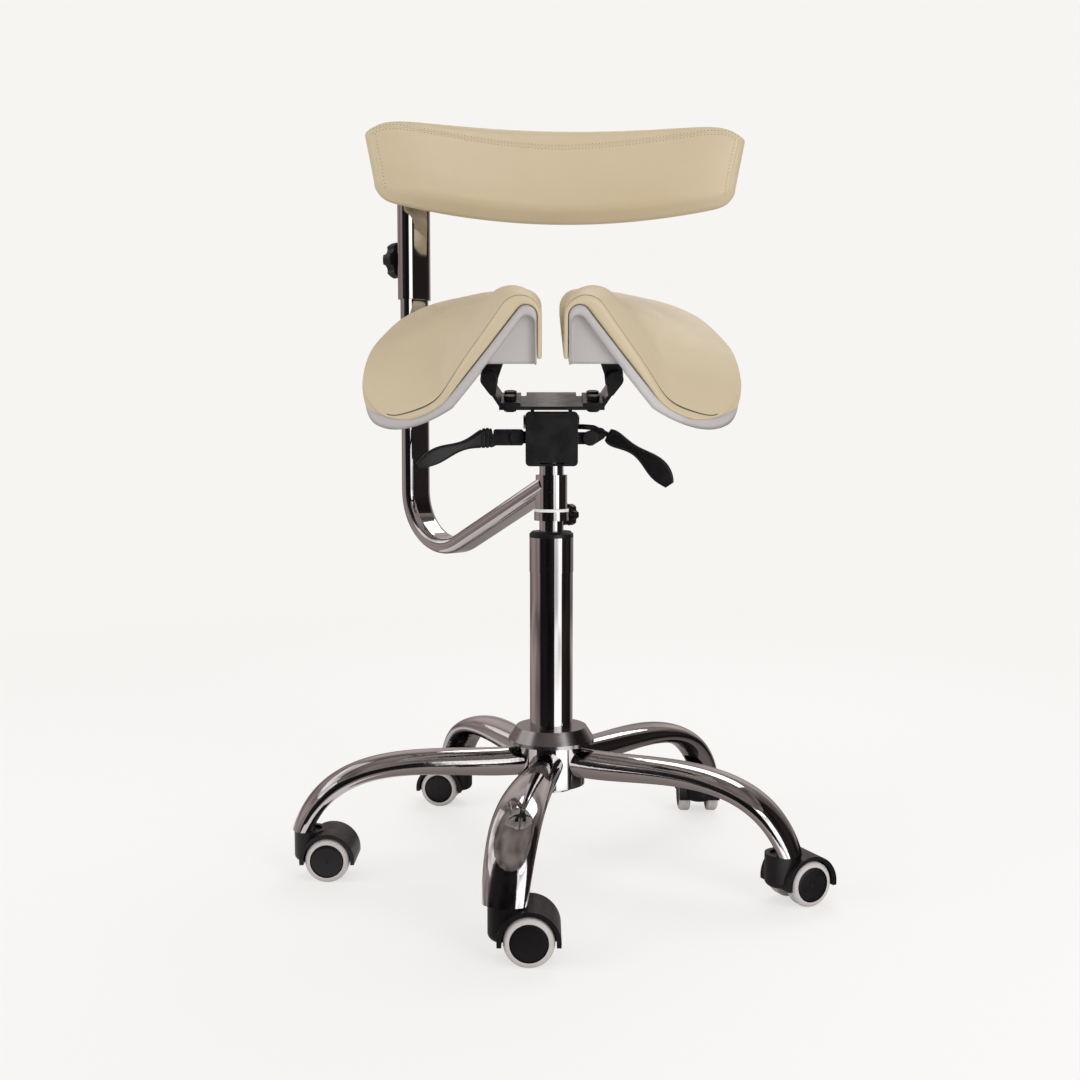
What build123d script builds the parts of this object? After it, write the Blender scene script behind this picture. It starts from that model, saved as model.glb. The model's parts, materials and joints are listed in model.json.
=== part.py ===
from build123d import *
import os
from math import acos, asin, atan2, cos, degrees, hypot, radians, sin, sqrt, tan

# Split-saddle stool with a swing-arm backrest. Millimetres, floor at Z = 0, column on Z, front is -Y.
# Every height is stacked on the one below it, from the wheels up to the seat and the backrest.

# Clearances
running_clearance = 0.05
fit_clearance = 0.02
seat_gap = 0.3

# Castors; the trail directions at rest are in degrees from +X
stem_radius = 5.5
stem_depth_in_leg, stem_depth_in_barrel = 12.0, 26.0
wheel_radius, wheel_width = 25.0, 15.0
wheel_inner_face = 11.0
tread_thickness = 6.0
wheel_shoulder, tread_inner_shoulder = 5.0, 3.0
disc_step = 1.0
axle_radius = 3.0
axle_end_cover = 3.0
trail = 22.0
barrel_radius, barrel_round = 18.5, 7.0
barrel_drop, barrel_gap = 5.0, 1.0
barrel_recess_radius, barrel_recess_depth = 13.0, 3.0
hood_wall, hood_gap, hood_overhang = 4.4, 1.6, 0.5
hood_lip_drop = 4.0
web_half_width, web_boss_radius = 10.0, 11.0
trail_directions = [0.0, 25.0, 90.0, 170.0, 0.0]
wheel_disc_radius = wheel_radius - tread_thickness
barrel_bottom = wheel_radius - barrel_drop
barrel_top = 2 * wheel_radius + hood_gap + hood_wall

# Base
leg_count = 5
front_leg_turn = -9.4
stem_circle_radius = 279.0
leg_tip_outset = 4.5
leg_drop = 70.5
leg_bend_radius, leg_bend_angle = 105.0, 62.0
leg_wall = 2.0
leg_hub_width, leg_hub_depth = 38.0, 34.0
leg_mid_width, leg_mid_depth = 45.0, 30.0
leg_knee_width, leg_knee_depth = 52.0, 25.0
leg_tip_width, leg_tip_depth = 41.0, 22.0
leg_tip_solid = 22.0
hub_radius = 39.0
hub_below, hub_above = 29.5, 19.5
cover_top_reach, cover_rim_reach = 2.0, 11.0
cover_gap, cover_lip, cover_rise, cover_wall = 1.0, 4.0, 14.0, 1.5
leg_end_height = barrel_top + barrel_gap
leg_height = leg_end_height + leg_drop
hub_bottom, hub_top = leg_height - hub_below, leg_height + hub_above

# Gas column
column_radius, column_wall = 25.0, 2.0
column_foot, column_length, column_floor = 6.0, 295.0, 6.0
band_height, band_step = 40.0, 0.5
bush_flange, bush_length, bush_chamfer = 7.0, 85.0, 3.0
cylinder_radius, cylinder_wall = 14.0, 2.0
cylinder_lift, cylinder_end_wall, cylinder_head = 26.0, 8.0, 60.0
rod_radius, rod_neck_radius, rod_groove_radius = 5.0, 4.0, 3.2
rod_tail, rod_reach = 6.0, 182.0
piston_length = 24.0
bearing_radius, bearing_height = 13.0, 6.0
clip_radius, clip_thickness, clip_mouth = 8.0, 1.5, 4.5
valve_radius, valve_proud, valve_depth = 3.75, 5.6, 20.0
column_bottom = hub_bottom - column_foot
column_top = column_bottom + column_length
cylinder_bottom = column_bottom + cylinder_lift

# Arm clamp, collar and arm
ring_lift, ring_wall, ring_height = 12.5, 6.0, 10.1
washer_height = 3.3
collar_bush_wall, collar_wall, collar_height = 1.5, 2.7, 38.7
collar_hole_radius = 2.2
clamp_knob_direction = 50.0
clamp_knob_radius, clamp_knob_thickness = 13.0, 9.0
clamp_boss_reach = 6.5
clamp_stud_radius = 3.0
arm_direction, arm_radius = 134.0, 250.0
arm_width, arm_depth, arm_wall = 40.0, 20.0, 2.0
arm_slope, arm_bend_radius = 26.5, 68.0
ring_radius = cylinder_radius + ring_wall
ring_bottom = column_top + bush_flange + ring_lift
ring_top = ring_bottom + ring_height
collar_bore = cylinder_radius + running_clearance + collar_bush_wall
collar_radius = collar_bore + collar_wall
collar_bottom = ring_top + washer_height + seat_gap
collar_top = collar_bottom + collar_height
arm_root_height = (collar_bottom + collar_top) / 2

# Backrest; its arc is set so that the arm's post stands a fixed way behind the strap
back_rise, back_half_height = 385.5, 56.0
back_front_radius, back_middle_x = 400.0, 5.0
back_depth, board_thickness = 42.0, 6.7
back_half_angle, back_slant = 30.7, 12.0
back_crown_share, back_round_share = 0.125, 0.4
board_angle_inset, board_lift, board_drop = 4.2, 23.0, 15.0
strap_thickness, strap_lift, strap_drop = 3.0, 4.0, 10.0
strap_from, strap_past_post = 4.0, 3.8
block_width, block_depth = 26.0, 7.0
back_screw_angles, back_screw_inset = [7.0, 14.0], 12.0
screw_radius, screw_head_radius, screw_head = 3.0, 6.0, 3.5
screw_bite = 4.0
sleeve_wall, sleeve_clearance = 2.7, 0.3
sleeve_length, sleeve_rise, sleeve_cap, slide_room = 170.0, 21.0, 3.0, 53.0
back_knob_lift = 52.0
back_knob_radius, back_knob_thickness = 23.5, 16.0
back_boss_radius, back_boss_reach = 9.0, 7.0
back_stud_radius = 4.0
knob_lobes, knob_scallop, knob_round = 6, 0.16, 0.16
# The pad's edges bow gently and turn into round corners at the ends, where the padding thins out
back_shares = [0.0, 0.2, 0.4, 0.58, 0.74, 0.86, 0.94, 1.0]
back_low_bow, back_low_corner, back_low_power = 17.0, 15.0, 40
back_top_bow, back_top_corner, back_top_power = 6.5, 15.5, 18
back_thinning, back_thin_power = 0.66, 7
back_middle = arm_root_height + back_rise
back_bottom, back_top = back_middle - back_half_height, back_middle + back_half_height
board_inner = back_front_radius + back_depth + seat_gap
board_outer = board_inner + board_thickness
board_half_angle = back_half_angle - board_angle_inset
board_bottom, board_top = back_bottom + board_lift, back_top - board_drop
strap_outer = board_outer + strap_thickness
strap_bottom, strap_top = board_bottom + strap_lift, board_top - strap_drop
sleeve_grow = sleeve_clearance + sleeve_wall
sleeve_top = back_middle + sleeve_rise
sleeve_bottom = sleeve_top - sleeve_length
arm_top = sleeve_top - sleeve_cap - slide_room
back_knob_height = sleeve_bottom + back_knob_lift
post_x, post_y = arm_radius * cos(radians(arm_direction)), arm_radius * sin(radians(arm_direction))
post_ring = strap_outer + block_depth + sleeve_grow + arm_depth / 2
back_centre_y = post_y - sqrt(post_ring**2 - (back_middle_x - post_x) ** 2)
strap_to = degrees(asin((back_middle_x - post_x) / post_ring)) + strap_past_post

# Mechanism box under the seat, on the column's taper
box_lift = 10.6
taper_length, taper_narrowing = 35.5, 0.8
box_half_width, box_front, box_back = 29.5, -34.0, 40.0
box_wall, box_corner = 3.0, 5.0
box_notch_width, box_notch_height = 27.0, 4.0
box_window_front, box_window_side = 4.0, 4.5
socket_wall, socket_drop = 5.0, 2.0
rod_room, rod_headroom = 0.4, 14.0
axle_y, axle_drop, tilt_axle_radius = 24.0, 11.0, 5.0
axle_head_radius, axle_head = 8.0, 3.0
lever_rod_radius = 3.0
box_bottom = collar_top + box_lift
cylinder_top = box_bottom + taper_length
taper_top_radius = cylinder_radius - taper_narrowing
socket_radius, socket_top = cylinder_radius + socket_wall, cylinder_top - socket_drop
rod_height = cylinder_top + valve_proud + rod_room + lever_rod_radius
box_top = rod_height + lever_rod_radius + rod_headroom
axle_z = box_top - axle_drop

# Levers
lever_y, lever_plate = -20.0, 4.0
lug_plate, lug_gap, lug_radius = 4.0, 0.3, 7.0
pin_radius, pin_head_radius, pin_head = 4.0, 8.6, 3.0
left_pivot_out, left_pivot_drop = 9.5, 12.0
right_pivot_out, right_pivot_drop = 14.0, 13.0
left_plate_length, left_plate_height = 27.0, 18.5
finger_height, finger_gap = 7.0, 3.0
tongue_length, tongue_height = 15.0, 8.0
slot_room = 2.5
blade_gap, blade_corner = 2.5, 3.0
rod_end_x, rod_bend_radius, rod_inner_bend = 1.0, 8.0, 8.0
link_reach, link_rise, link_radius = 11.0, 5.0, 7.0
grip_round = 0.42
grip_groove_count, grip_groove_pitch, grip_groove_width, grip_groove_depth = 3, 4.5, 1.5, 1.0
left_pivot_x, left_pivot_z = -box_half_width - left_pivot_out, rod_height - left_pivot_drop
right_pivot_x, right_pivot_z = box_half_width + right_pivot_out, rod_height - right_pivot_drop
left_plate_end = left_pivot_x - left_plate_length
# Bends of the height lever's rod: out from the box's side, forward of the lever line, below the rod's height
rod_bends = [(6.0, 0.0, 0.0), (18.0, 0.0, 1.0), (34.0, 2.0, 9.0), (48.0, 5.0, 17.0)]
# Grip stations: outwards, forward and down from the grip's start, then height, depth and downward slope
tilt_grip_stations = [
    (0.0, 0.0, 0.0, 20.0, 13.0, 12.0),
    (22.0, 3.0, 5.0, 15.5, 12.0, 18.0),
    (42.0, 9.0, 12.0, 12.0, 10.0, 20.0),
    (60.0, 15.0, 19.0, 18.0, 8.5, 25.0),
    (75.0, 20.0, 27.0, 14.0, 7.0, 30.0),
    (84.0, 23.0, 32.0, 7.0, 5.0, 32.0),
]
height_grip_stations = [
    (0.0, 0.0, 0.0, 14.5, 13.0, 28.0),
    (17.0, 4.0, 10.0, 15.0, 12.5, 31.0),
    (34.0, 9.0, 20.0, 12.5, 11.0, 36.0),
    (52.0, 16.0, 35.0, 23.0, 9.0, 44.0),
    (63.0, 21.0, 48.0, 20.0, 7.0, 52.0),
    (68.0, 24.0, 56.0, 11.0, 5.0, 56.0),
]

# Tilting seat carrier, drawn level and then tipped forward by seat_tilt about the height of the tilt axle
seat_tilt = 13.0
plate_gap, plate_thickness = 2.63, 4.0
plate_front, plate_back, plate_step = -36.0, 46.0, 24.0
plate_half_width, plate_tail_half_width = 59.0, 29.0
ear_gap, ear_thickness, ear_radius = 2.5, 4.0, 9.0
hinge_outset, hinge_rise = 11.0, 30.4
hinge_front, hinge_back = -36.0, 24.0
hinge_ear, hinge_ear_radius, web_room = 5.0, 9.5, 1.0
foot_width, bracket_thickness = 24.0, 4.0
hinge_pin_radius, hinge_head_radius, hinge_head = 4.0, 8.8, 3.0
lug_side_gap, lug_thickness, lug_lean, lug_spread = 0.5, 5.0, 6.0, 1.4
bolt_ys = [-18.0, 8.0]
bolt_radius, bolt_head_radius, bolt_head = 4.0, 7.0, 5.0
mount_inset, mount_outset, mount_front, mount_back = 36.0, 10.0, -46.0, 36.0
mount_thickness, floor_rise = 3.2, 31.6
tip = radians(seat_tilt)
plate_bottom = axle_z - box_front * sin(tip) + axle_drop * cos(tip) + plate_gap
plate_top = plate_bottom + plate_thickness
foot_inner = plate_half_width - foot_width
bolt_x = foot_inner + foot_width / 2
hinge_x, hinge_z = plate_half_width + hinge_outset, plate_top + hinge_rise
shell_floor = hinge_z + floor_rise
ear_inner = box_half_width - box_wall - ear_gap - ear_thickness

# Seat half, drawn for +X; the front outer corner is a quarter of an ellipse in plan
half_gap = 11.3
crest_radius, inner_crest_radius = 22.5, 11.0
skirt_rise, skirt_wall, skirt_round = 6.0, 5.0, 1.5
cushion_edge, shell_thickness = 11.0, 10.0
shell_edge_inset, shell_floor_inset = 3.0, 14.0
knee_radius, edge_radius, lip_radius = 60.0, 5.0, 4.0
low_knee_radius, wall_round, floor_round = 10.0, 2.0, 4.0
recess_depth, recess_lip, recess_edge, recess_round = 7.0, 10.0, 2.0, 8.0
corner_start, corner_length, corner_room = 60.0, 113.0, 1.0
skirt_bottom = shell_floor + skirt_rise
# Stations: y, crest height, outer x and height, knee x and height, padding; heights from the shell's floor
seat_stations = [
    (-123.0, 70.0, 152.0, -60.5, 118.0, -34.0, 8.5),
    (-114.0, 73.0, 168.0, -63.5, 119.0, -30.0, 11.0),
    (-90.0, 75.0, 192.0, -64.0, 120.0, -19.0, 16.0),
    (-45.0, 73.0, 210.0, -46.0, 120.0, 2.0, 16.0),
    (-10.0, 67.0, 213.5, -30.0, 120.0, 19.0, 16.0),
    (10.0, 61.0, 213.0, -21.0, 120.0, 27.0, 16.0),
    (70.0, 49.0, 202.0, -1.0, 118.0, 35.0, 16.0),
    (120.0, 44.0, 174.0, 19.0, 106.0, 37.0, 16.0),
    (165.0, 43.0, 130.0, 30.0, 84.0, 39.5, 16.0),
    (188.0, 41.0, 98.0, 32.0, 70.0, 37.5, 14.0),
    (197.0, 38.0, 80.0, 31.0, 62.0, 35.0, 12.0),
]


def bar(radius, start, end):
    """Round bar between two points."""
    axis = Vector(*end) - Vector(*start)
    return extrude(Plane(start, z_dir=axis) * Circle(radius), axis.length)


def ring(outer, inner, bottom, top):
    """Round ring on the column's axis."""
    return Pos(0, 0, bottom) * extrude(Circle(outer) - Circle(inner), top - bottom)


def turned(points):
    """Solid of revolution about Z from radius and height pairs."""
    return revolve(Plane.XZ * make_face(Polyline(*points, close=True)), Axis.Z)


def prism(sketch, front, back):
    """A sketch drawn in X and Z, pulled along +Y from front to back."""
    plane = Plane((0, back, 0), x_dir=(1, 0, 0), z_dir=(0, -1, 0))
    return extrude(plane * sketch, back - front)


def oval(width, depth):
    """Flat oval with its long side across."""
    return SlotOverall(width, depth)


def hull_of_two(x1, z1, r1, x2, z2, r2):
    """Two discs and the bar that touches both."""
    spread = Vector(x2 - x1, z2 - z1)
    turn = atan2(spread.Y, spread.X)
    lean = acos((r1 - r2) / spread.length)
    sides = [turn + lean, turn - lean]
    first = [(x1 + r1 * cos(a), z1 + r1 * sin(a)) for a in sides]
    second = [(x2 + r2 * cos(a), z2 + r2 * sin(a)) for a in sides]
    bridge = make_face(Polyline(first[0], second[0], second[1], first[1], close=True))
    return Pos(x1, z1) * Circle(r1) + Pos(x2, z2) * Circle(r2) + bridge


def star_knob(radius, thickness, stud_radius, stud_length):
    """Lobed knob on a stud: the stud runs along -Z from the knob's back face at Z = 0."""
    scallops = PolarLocations(radius * (1 + knob_scallop), knob_lobes) * Circle(radius * 2 * knob_scallop)
    head = extrude(Circle(radius) - scallops, thickness)
    crown = fillet(head.faces().sort_by(Axis.Z)[-1].edges(), thickness * knob_round)
    return crown + Pos(0, 0, -stud_length) * Cylinder(
        stud_radius, stud_length, align=(Align.CENTER, Align.CENTER, Align.MIN)
    )


def leg_angle(number):
    return front_leg_turn + 360 / leg_count * number - 90


def leg_path():
    """Where the leg's bend starts, and how far the leg runs straight after the bend."""
    turn = radians(leg_bend_angle)
    drop = leg_height - leg_end_height
    tail = (drop - leg_bend_radius * (1 - cos(turn))) / sin(turn)
    tip = stem_circle_radius + leg_tip_outset
    bend_start = tip - tail * cos(turn) - leg_bend_radius * sin(turn)
    return bend_start, tail


def leg_plane(bend_start, slope, beyond):
    """Section plane across the leg where it has turned down by slope, moved beyond along the leg."""
    turn = radians(slope)
    x = bend_start + leg_bend_radius * sin(turn) + beyond * cos(turn)
    z = leg_height - leg_bend_radius * (1 - cos(turn)) - beyond * sin(turn)
    return Plane((x, 0, z), x_dir=(0, 1, 0), z_dir=(cos(turn), 0, -sin(turn)))


def leg_loft(wall, last):
    """Loft down the leg, thinned by a wall, ending a distance past the bend."""
    bend_start = leg_path()[0]
    stations = [
        (leg_plane(bend_start, 0, hub_radius / 2 - bend_start), leg_hub_width, leg_hub_depth),
        (leg_plane(bend_start, 0, -bend_start / 3), leg_mid_width, leg_mid_depth),
        (leg_plane(bend_start, leg_bend_angle / 2, 0), leg_knee_width, leg_knee_depth),
        (leg_plane(bend_start, leg_bend_angle, last), leg_tip_width, leg_tip_depth),
    ]
    return loft([p * Ellipse(w / 2 - wall, d / 2 - wall) for p, w, d in stations])


def base_leg(number):
    tail = leg_path()[1]
    leg = leg_loft(0, tail + leg_tip_depth) - leg_loft(leg_wall, tail - leg_tip_solid)
    leg -= Cylinder(hub_radius, 4 * leg_height)
    below = Box(
        leg_tip_width * 2, leg_tip_width * 2, leg_end_height, align=(Align.CENTER, Align.CENTER, Align.MIN)
    )
    leg -= Pos(stem_circle_radius, 0, 0) * below
    top = leg_end_height + stem_depth_in_leg
    leg -= bar(stem_radius + fit_clearance, (stem_circle_radius, 0, 0), (stem_circle_radius, 0, top))
    return Rot(0, 0, leg_angle(number)) * leg


def base_hub():
    return ring(hub_radius, column_radius + fit_clearance, hub_bottom, hub_top)


def hub_cover():
    bottom = hub_top + cover_gap
    top = bottom + cover_lip + cover_rise
    bore = column_radius + fit_clearance
    rim, shoulder = hub_radius + cover_rim_reach, hub_radius + cover_top_reach
    return turned(
        [
            (bore, top),
            (shoulder, top),
            (rim, bottom + cover_lip),
            (rim, bottom),
            (rim - cover_wall, bottom),
            (rim - cover_wall, bottom + cover_lip),
            (shoulder - cover_wall, top - cover_wall),
            (bore, top - cover_wall),
        ]
    )


def stem_place(number):
    return Rot(0, 0, leg_angle(number)) * Pos(stem_circle_radius, 0, 0)


def caster_stems():
    low = barrel_top - stem_depth_in_barrel
    stem = bar(stem_radius, (0, 0, low), (0, 0, leg_end_height + stem_depth_in_leg))
    return [stem_place(n) * stem for n in range(leg_count)]


def caster_place(number):
    x = stem_circle_radius * cos(radians(leg_angle(number)))
    y = stem_circle_radius * sin(radians(leg_angle(number)))
    return Pos(x, y, 0) * Rot(0, 0, trail_directions[number])


def across(radius, inner, outer):
    """Round bar along Y about the castor's axle."""
    return bar(radius, (trail, inner, wheel_radius), (trail, outer, wheel_radius))


def caster_housing():
    half = wheel_inner_face + wheel_width + hood_overhang
    barrel = bar(barrel_radius, (0, 0, barrel_bottom), (0, 0, barrel_top))
    barrel = fillet(barrel.faces().sort_by(Axis.Z)[0].edges(), barrel_round)
    hood = across(wheel_radius + hood_gap + hood_wall, -half, half)
    hood -= Pos(trail, 0, -hood_lip_drop) * Box(4 * wheel_radius, 4 * half, 2 * wheel_radius)
    body = barrel + hood + across(web_boss_radius, -web_half_width, web_half_width)
    for side in (-1, 1):
        body -= across(wheel_radius + hood_gap, side * web_half_width, side * 2 * half)
    body -= across(axle_radius, -half, half)
    low = barrel_top - stem_depth_in_barrel - seat_gap
    body -= bar(stem_radius + running_clearance, (0, 0, low), (0, 0, 2 * barrel_top))
    body -= bar(barrel_recess_radius, (0, 0, barrel_top - barrel_recess_depth), (0, 0, 2 * barrel_top))
    reach = wheel_inner_face + wheel_width - axle_end_cover - running_clearance
    return [body, across(axle_radius, -reach, reach)]


def caster_wheel(side):
    """Black disc and soft tread of one wheel, turned about the axle; side is +1 or -1 along Y."""
    inner = wheel_inner_face
    outer = inner + wheel_width
    bore = axle_radius + running_clearance
    disc = turned(
        [
            (0, outer - axle_end_cover),
            (bore, outer - axle_end_cover),
            (bore, inner),
            (wheel_disc_radius, inner),
            (wheel_disc_radius, outer - 2 * disc_step),
            (wheel_disc_radius - disc_step, outer - disc_step),
            (wheel_disc_radius - 4 * disc_step, outer - disc_step / 2),
            (0, outer),
        ]
    )
    tread = ring(wheel_radius, wheel_disc_radius, inner, outer)
    rims = tread.edges().filter_by(GeomType.CIRCLE).group_by(SortBy.RADIUS)[-1].sort_by(Axis.Z)
    tread = fillet(rims[-1], wheel_shoulder)
    rims = tread.edges().filter_by(GeomType.CIRCLE).group_by(SortBy.RADIUS)[-1].sort_by(Axis.Z)
    tread = fillet(rims[0], tread_inner_shoulder)
    turn = Pos(trail, 0, wheel_radius) * Rot(-90 * side, 0, 0)
    return [turn * disc, turn * tread]


def column_tube():
    outer, inner = column_radius, column_radius - column_wall
    neck = rod_neck_radius + running_clearance
    band_bottom = column_top - band_height
    return turned(
        [
            (neck, column_bottom),
            (outer, column_bottom),
            (outer, band_bottom),
            (outer + band_step, band_bottom),
            (outer + band_step, column_top),
            (inner, column_top),
            (inner, column_bottom + column_floor),
            (neck, column_bottom + column_floor),
        ]
    )


def column_bush():
    bore = cylinder_radius + running_clearance
    plug = column_radius - column_wall - fit_clearance
    flange = column_radius + band_step
    return turned(
        [
            (bore, column_top - bush_length),
            (plug, column_top - bush_length),
            (plug, column_top),
            (flange, column_top),
            (flange, column_top + bush_flange - bush_chamfer),
            (flange - bush_chamfer, column_top + bush_flange),
            (bore, column_top + bush_flange),
        ]
    )


def thrust_bearing():
    bottom = column_bottom + column_floor
    return ring(bearing_radius, rod_neck_radius + running_clearance, bottom, bottom + bearing_height)


def piston_rod():
    rod_bottom, rod_top = column_bottom - rod_tail, cylinder_bottom + rod_reach
    shoulder = column_bottom + column_floor + bearing_height
    clip_top = column_bottom - seat_gap
    clip_bottom = clip_top - clip_thickness
    piston = cylinder_radius - cylinder_wall - running_clearance
    return turned(
        [
            (0, rod_bottom),
            (rod_neck_radius, rod_bottom),
            (rod_neck_radius, clip_bottom),
            (rod_groove_radius, clip_bottom),
            (rod_groove_radius, clip_top),
            (rod_neck_radius, clip_top),
            (rod_neck_radius, shoulder),
            (rod_radius, shoulder),
            (rod_radius, rod_top),
            (piston, rod_top),
            (piston, rod_top + piston_length),
            (0, rod_top + piston_length),
        ]
    )


def rod_clip():
    top = column_bottom - seat_gap
    clip = ring(clip_radius, rod_groove_radius, top - clip_thickness, top)
    mouth = Box(clip_radius, clip_mouth, column_bottom * 4)
    return clip - Pos(clip_radius, 0, 0) * mouth


def pressure_tube():
    inner = cylinder_radius - cylinder_wall
    valve = valve_radius + running_clearance
    head = cylinder_top - cylinder_head
    rod = rod_radius + running_clearance
    return turned(
        [
            (rod, cylinder_bottom),
            (cylinder_radius, cylinder_bottom),
            (cylinder_radius, box_bottom),
            (taper_top_radius, cylinder_top),
            (valve, cylinder_top),
            (valve, cylinder_top - valve_depth),
            (0, cylinder_top - valve_depth),
            (0, head),
            (inner, head),
            (inner, cylinder_bottom + cylinder_end_wall),
            (rod, cylinder_bottom + cylinder_end_wall),
        ]
    )


def valve_pin():
    travel_room = valve_depth / 2
    return bar(valve_radius, (0, 0, cylinder_top - travel_room), (0, 0, cylinder_top + valve_proud))


def clamp_ring():
    """Plain ring with a boss for the knob's stud; the stud bears on the pressure tube."""
    body = ring(ring_radius, cylinder_radius, ring_bottom, ring_top)
    middle = ring_bottom + ring_height / 2
    boss = bar(ring_height / 2, (0, 0, middle), (ring_radius + clamp_boss_reach, 0, middle))
    hole = bar(clamp_stud_radius + running_clearance, (0, 0, middle), (2 * ring_radius, 0, middle))
    shaft = bar(cylinder_radius, (0, 0, 0), (0, 0, cylinder_top))
    return Rot(0, 0, clamp_knob_direction) * (body + (boss - shaft) - hole)


def clamp_knob():
    back = ring_radius + clamp_boss_reach + seat_gap
    stud = back - cylinder_radius - seat_gap
    knob = star_knob(clamp_knob_radius, clamp_knob_thickness, clamp_stud_radius, stud)
    lay = Pos(back, 0, ring_bottom + ring_height / 2) * Rot(0, 90, 0)
    return Rot(0, 0, clamp_knob_direction) * lay * knob


def arm_washer():
    return ring(ring_radius, cylinder_radius + fit_clearance, ring_top, ring_top + washer_height)


def arm_collar():
    """Turned collar with a grub-screw hole in its front."""
    collar = ring(collar_radius, collar_bore, collar_bottom, collar_top)
    height = arm_root_height
    return collar - bar(collar_hole_radius, (0, 0, height), (0, -2 * collar_radius, height))


def arm_bush():
    return ring(collar_bore, cylinder_radius + running_clearance, collar_bottom, collar_top)


def arm_sweep(width, depth):
    """Oval section carried down the slope, round the bend and up the post, drawn in X and Z."""
    slope = radians(arm_slope)
    root = (0, 0, arm_root_height + collar_radius * tan(slope))
    corner = (arm_radius, 0, arm_root_height - (arm_radius - collar_radius) * tan(slope))
    line = FilletPolyline(root, corner, (arm_radius, 0, arm_top), radius=arm_bend_radius)
    start = Plane(root, x_dir=(0, 1, 0), z_dir=(cos(slope), 0, -sin(slope)))
    return sweep(start * oval(width, depth), path=line)


def arm_tube():
    tube = arm_sweep(arm_width, arm_depth)
    tube -= arm_sweep(arm_width - 2 * arm_wall, arm_depth - 2 * arm_wall)
    tube -= bar(collar_radius, (0, 0, 0), (0, 0, arm_top))
    return Rot(0, 0, arm_direction) * tube


def post_oval(grow):
    """The arm post's section, grown all round, where the post stands."""
    return Pos(arm_radius, 0) * Rot(0, 0, 90) * oval(arm_width + 2 * grow, arm_depth + 2 * grow)


def backrest_sleeve():
    sleeve = Pos(0, 0, sleeve_bottom) * extrude(post_oval(sleeve_grow), sleeve_length)
    hollow = Pos(0, 0, sleeve_bottom) * extrude(post_oval(sleeve_clearance), sleeve_length - sleeve_cap)
    face = arm_radius + arm_depth / 2 + sleeve_grow
    start, height = (arm_radius, 0, back_knob_height), back_knob_height
    boss = bar(back_boss_radius, start, (face + back_boss_reach, 0, height))
    hole = bar(back_stud_radius + running_clearance, start, (2 * face, 0, height))
    return Rot(0, 0, arm_direction) * (sleeve + boss - hollow - hole)


def backrest_knob():
    back = arm_radius + arm_depth / 2 + sleeve_grow + back_boss_reach + seat_gap
    stud = back - arm_radius - arm_depth / 2 - seat_gap
    knob = star_knob(back_knob_radius, back_knob_thickness, back_stud_radius, stud)
    lay = Pos(back, 0, back_knob_height) * Rot(0, 90, 0)
    return Rot(0, 0, arm_direction) * lay * knob


def back_place():
    """The backrest is drawn about its own arc centre, with the middle on +Y."""
    return Pos(back_middle_x, back_centre_y, 0)


def back_plane(angle):
    """Upright plane through the arc centre: local x runs outwards, local y is up."""
    turn = radians(90 - angle)
    return Plane((0, 0, 0), x_dir=(cos(turn), sin(turn), 0), z_dir=(sin(turn), -cos(turn), 0))


def back_section(share, bottom, top):
    """Padded section: flat back, crowned front; share is how much of the padding depth is left."""
    rear = back_front_radius + back_depth
    depth = back_depth * share
    front = rear - depth
    middle, crown, round_front = (bottom + top) / 2, depth * back_crown_share, depth * back_round_share
    points = [
        (rear, bottom + crown),
        (rear, top - crown),
        (rear - crown * 3, top),
        (front + crown, top - crown),
        (front, middle + crown * 2),
        (front, middle - crown * 2),
        (front + crown, bottom + crown),
        (rear - crown * 3, bottom),
    ]
    radii = [crown, crown, crown, round_front, 2 * round_front, 2 * round_front, round_front, crown]
    return make_face(FilletPolyline(*points, radius=radii, close=True))


def backrest_cushion():
    """Loft round the arc; the ends are thin, lean outwards at the top and have round lower corners."""
    faces = []
    for share in [-s for s in reversed(back_shares[1:])] + back_shares:
        s = abs(share)
        depth = 1 - back_thinning * s**back_thin_power
        bottom = back_bottom + back_low_bow * s**2 + back_low_corner * s**back_low_power
        top = back_top - back_top_bow * s**2 - back_top_corner * s**back_top_power
        lean = Pos(0, back_middle) * Rot(back_slant * share, 0, 0) * Pos(0, -back_middle)
        faces.append(back_plane(back_half_angle * share) * lean * back_section(depth, bottom, top))
    return back_place() * loft(faces)


def arc_panel(inner, outer, first, last, bottom, top):
    """Upright curved panel about the backrest's arc centre, from one angle to another."""
    face = back_plane(first) * Pos((inner + outer) / 2, (bottom + top) / 2) * Rectangle(
        outer - inner, top - bottom
    )
    return revolve(face, Axis.Z, first - last)


def back_screws():
    """Place of each backrest screw: its line runs along local x from the arc centre."""
    lines = []
    for angle in back_screw_angles:
        for height in (strap_bottom + back_screw_inset, strap_top - back_screw_inset):
            lines.append(back_plane(-angle) * Pos(0, height, 0))
    return lines


def screw_bar(place, radius, inner, outer):
    return place * Rot(0, 90, 0) * Pos(0, 0, inner) * extrude(Circle(radius), outer - inner)


def backrest_board():
    board = arc_panel(board_inner, board_outer, board_half_angle, -board_half_angle, board_bottom, board_top)
    for place in back_screws():
        board -= screw_bar(place, screw_radius, board_outer - screw_bite, 2 * board_outer)
    return back_place() * board


def backrest_bracket():
    """Strap on the back of the board with a block that is welded to the sleeve."""
    strap = arc_panel(board_outer, strap_outer, -strap_from, -strap_to, strap_bottom, strap_top)
    for place in back_screws():
        strap -= screw_bar(place, screw_radius, 0, 2 * strap_outer)
    block = Pos(post_x, post_y) * Rectangle(block_width, 2 * block_width)
    block -= Rot(0, 0, arm_direction) * post_oval(sleeve_grow)
    block -= Pos(back_middle_x, back_centre_y) * Circle(strap_outer)
    nearest = block.faces().sort_by(Axis.Y)[0]
    weld = Pos(0, 0, strap_bottom) * extrude(nearest, strap_top - strap_bottom)
    return back_place() * strap + weld


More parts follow.
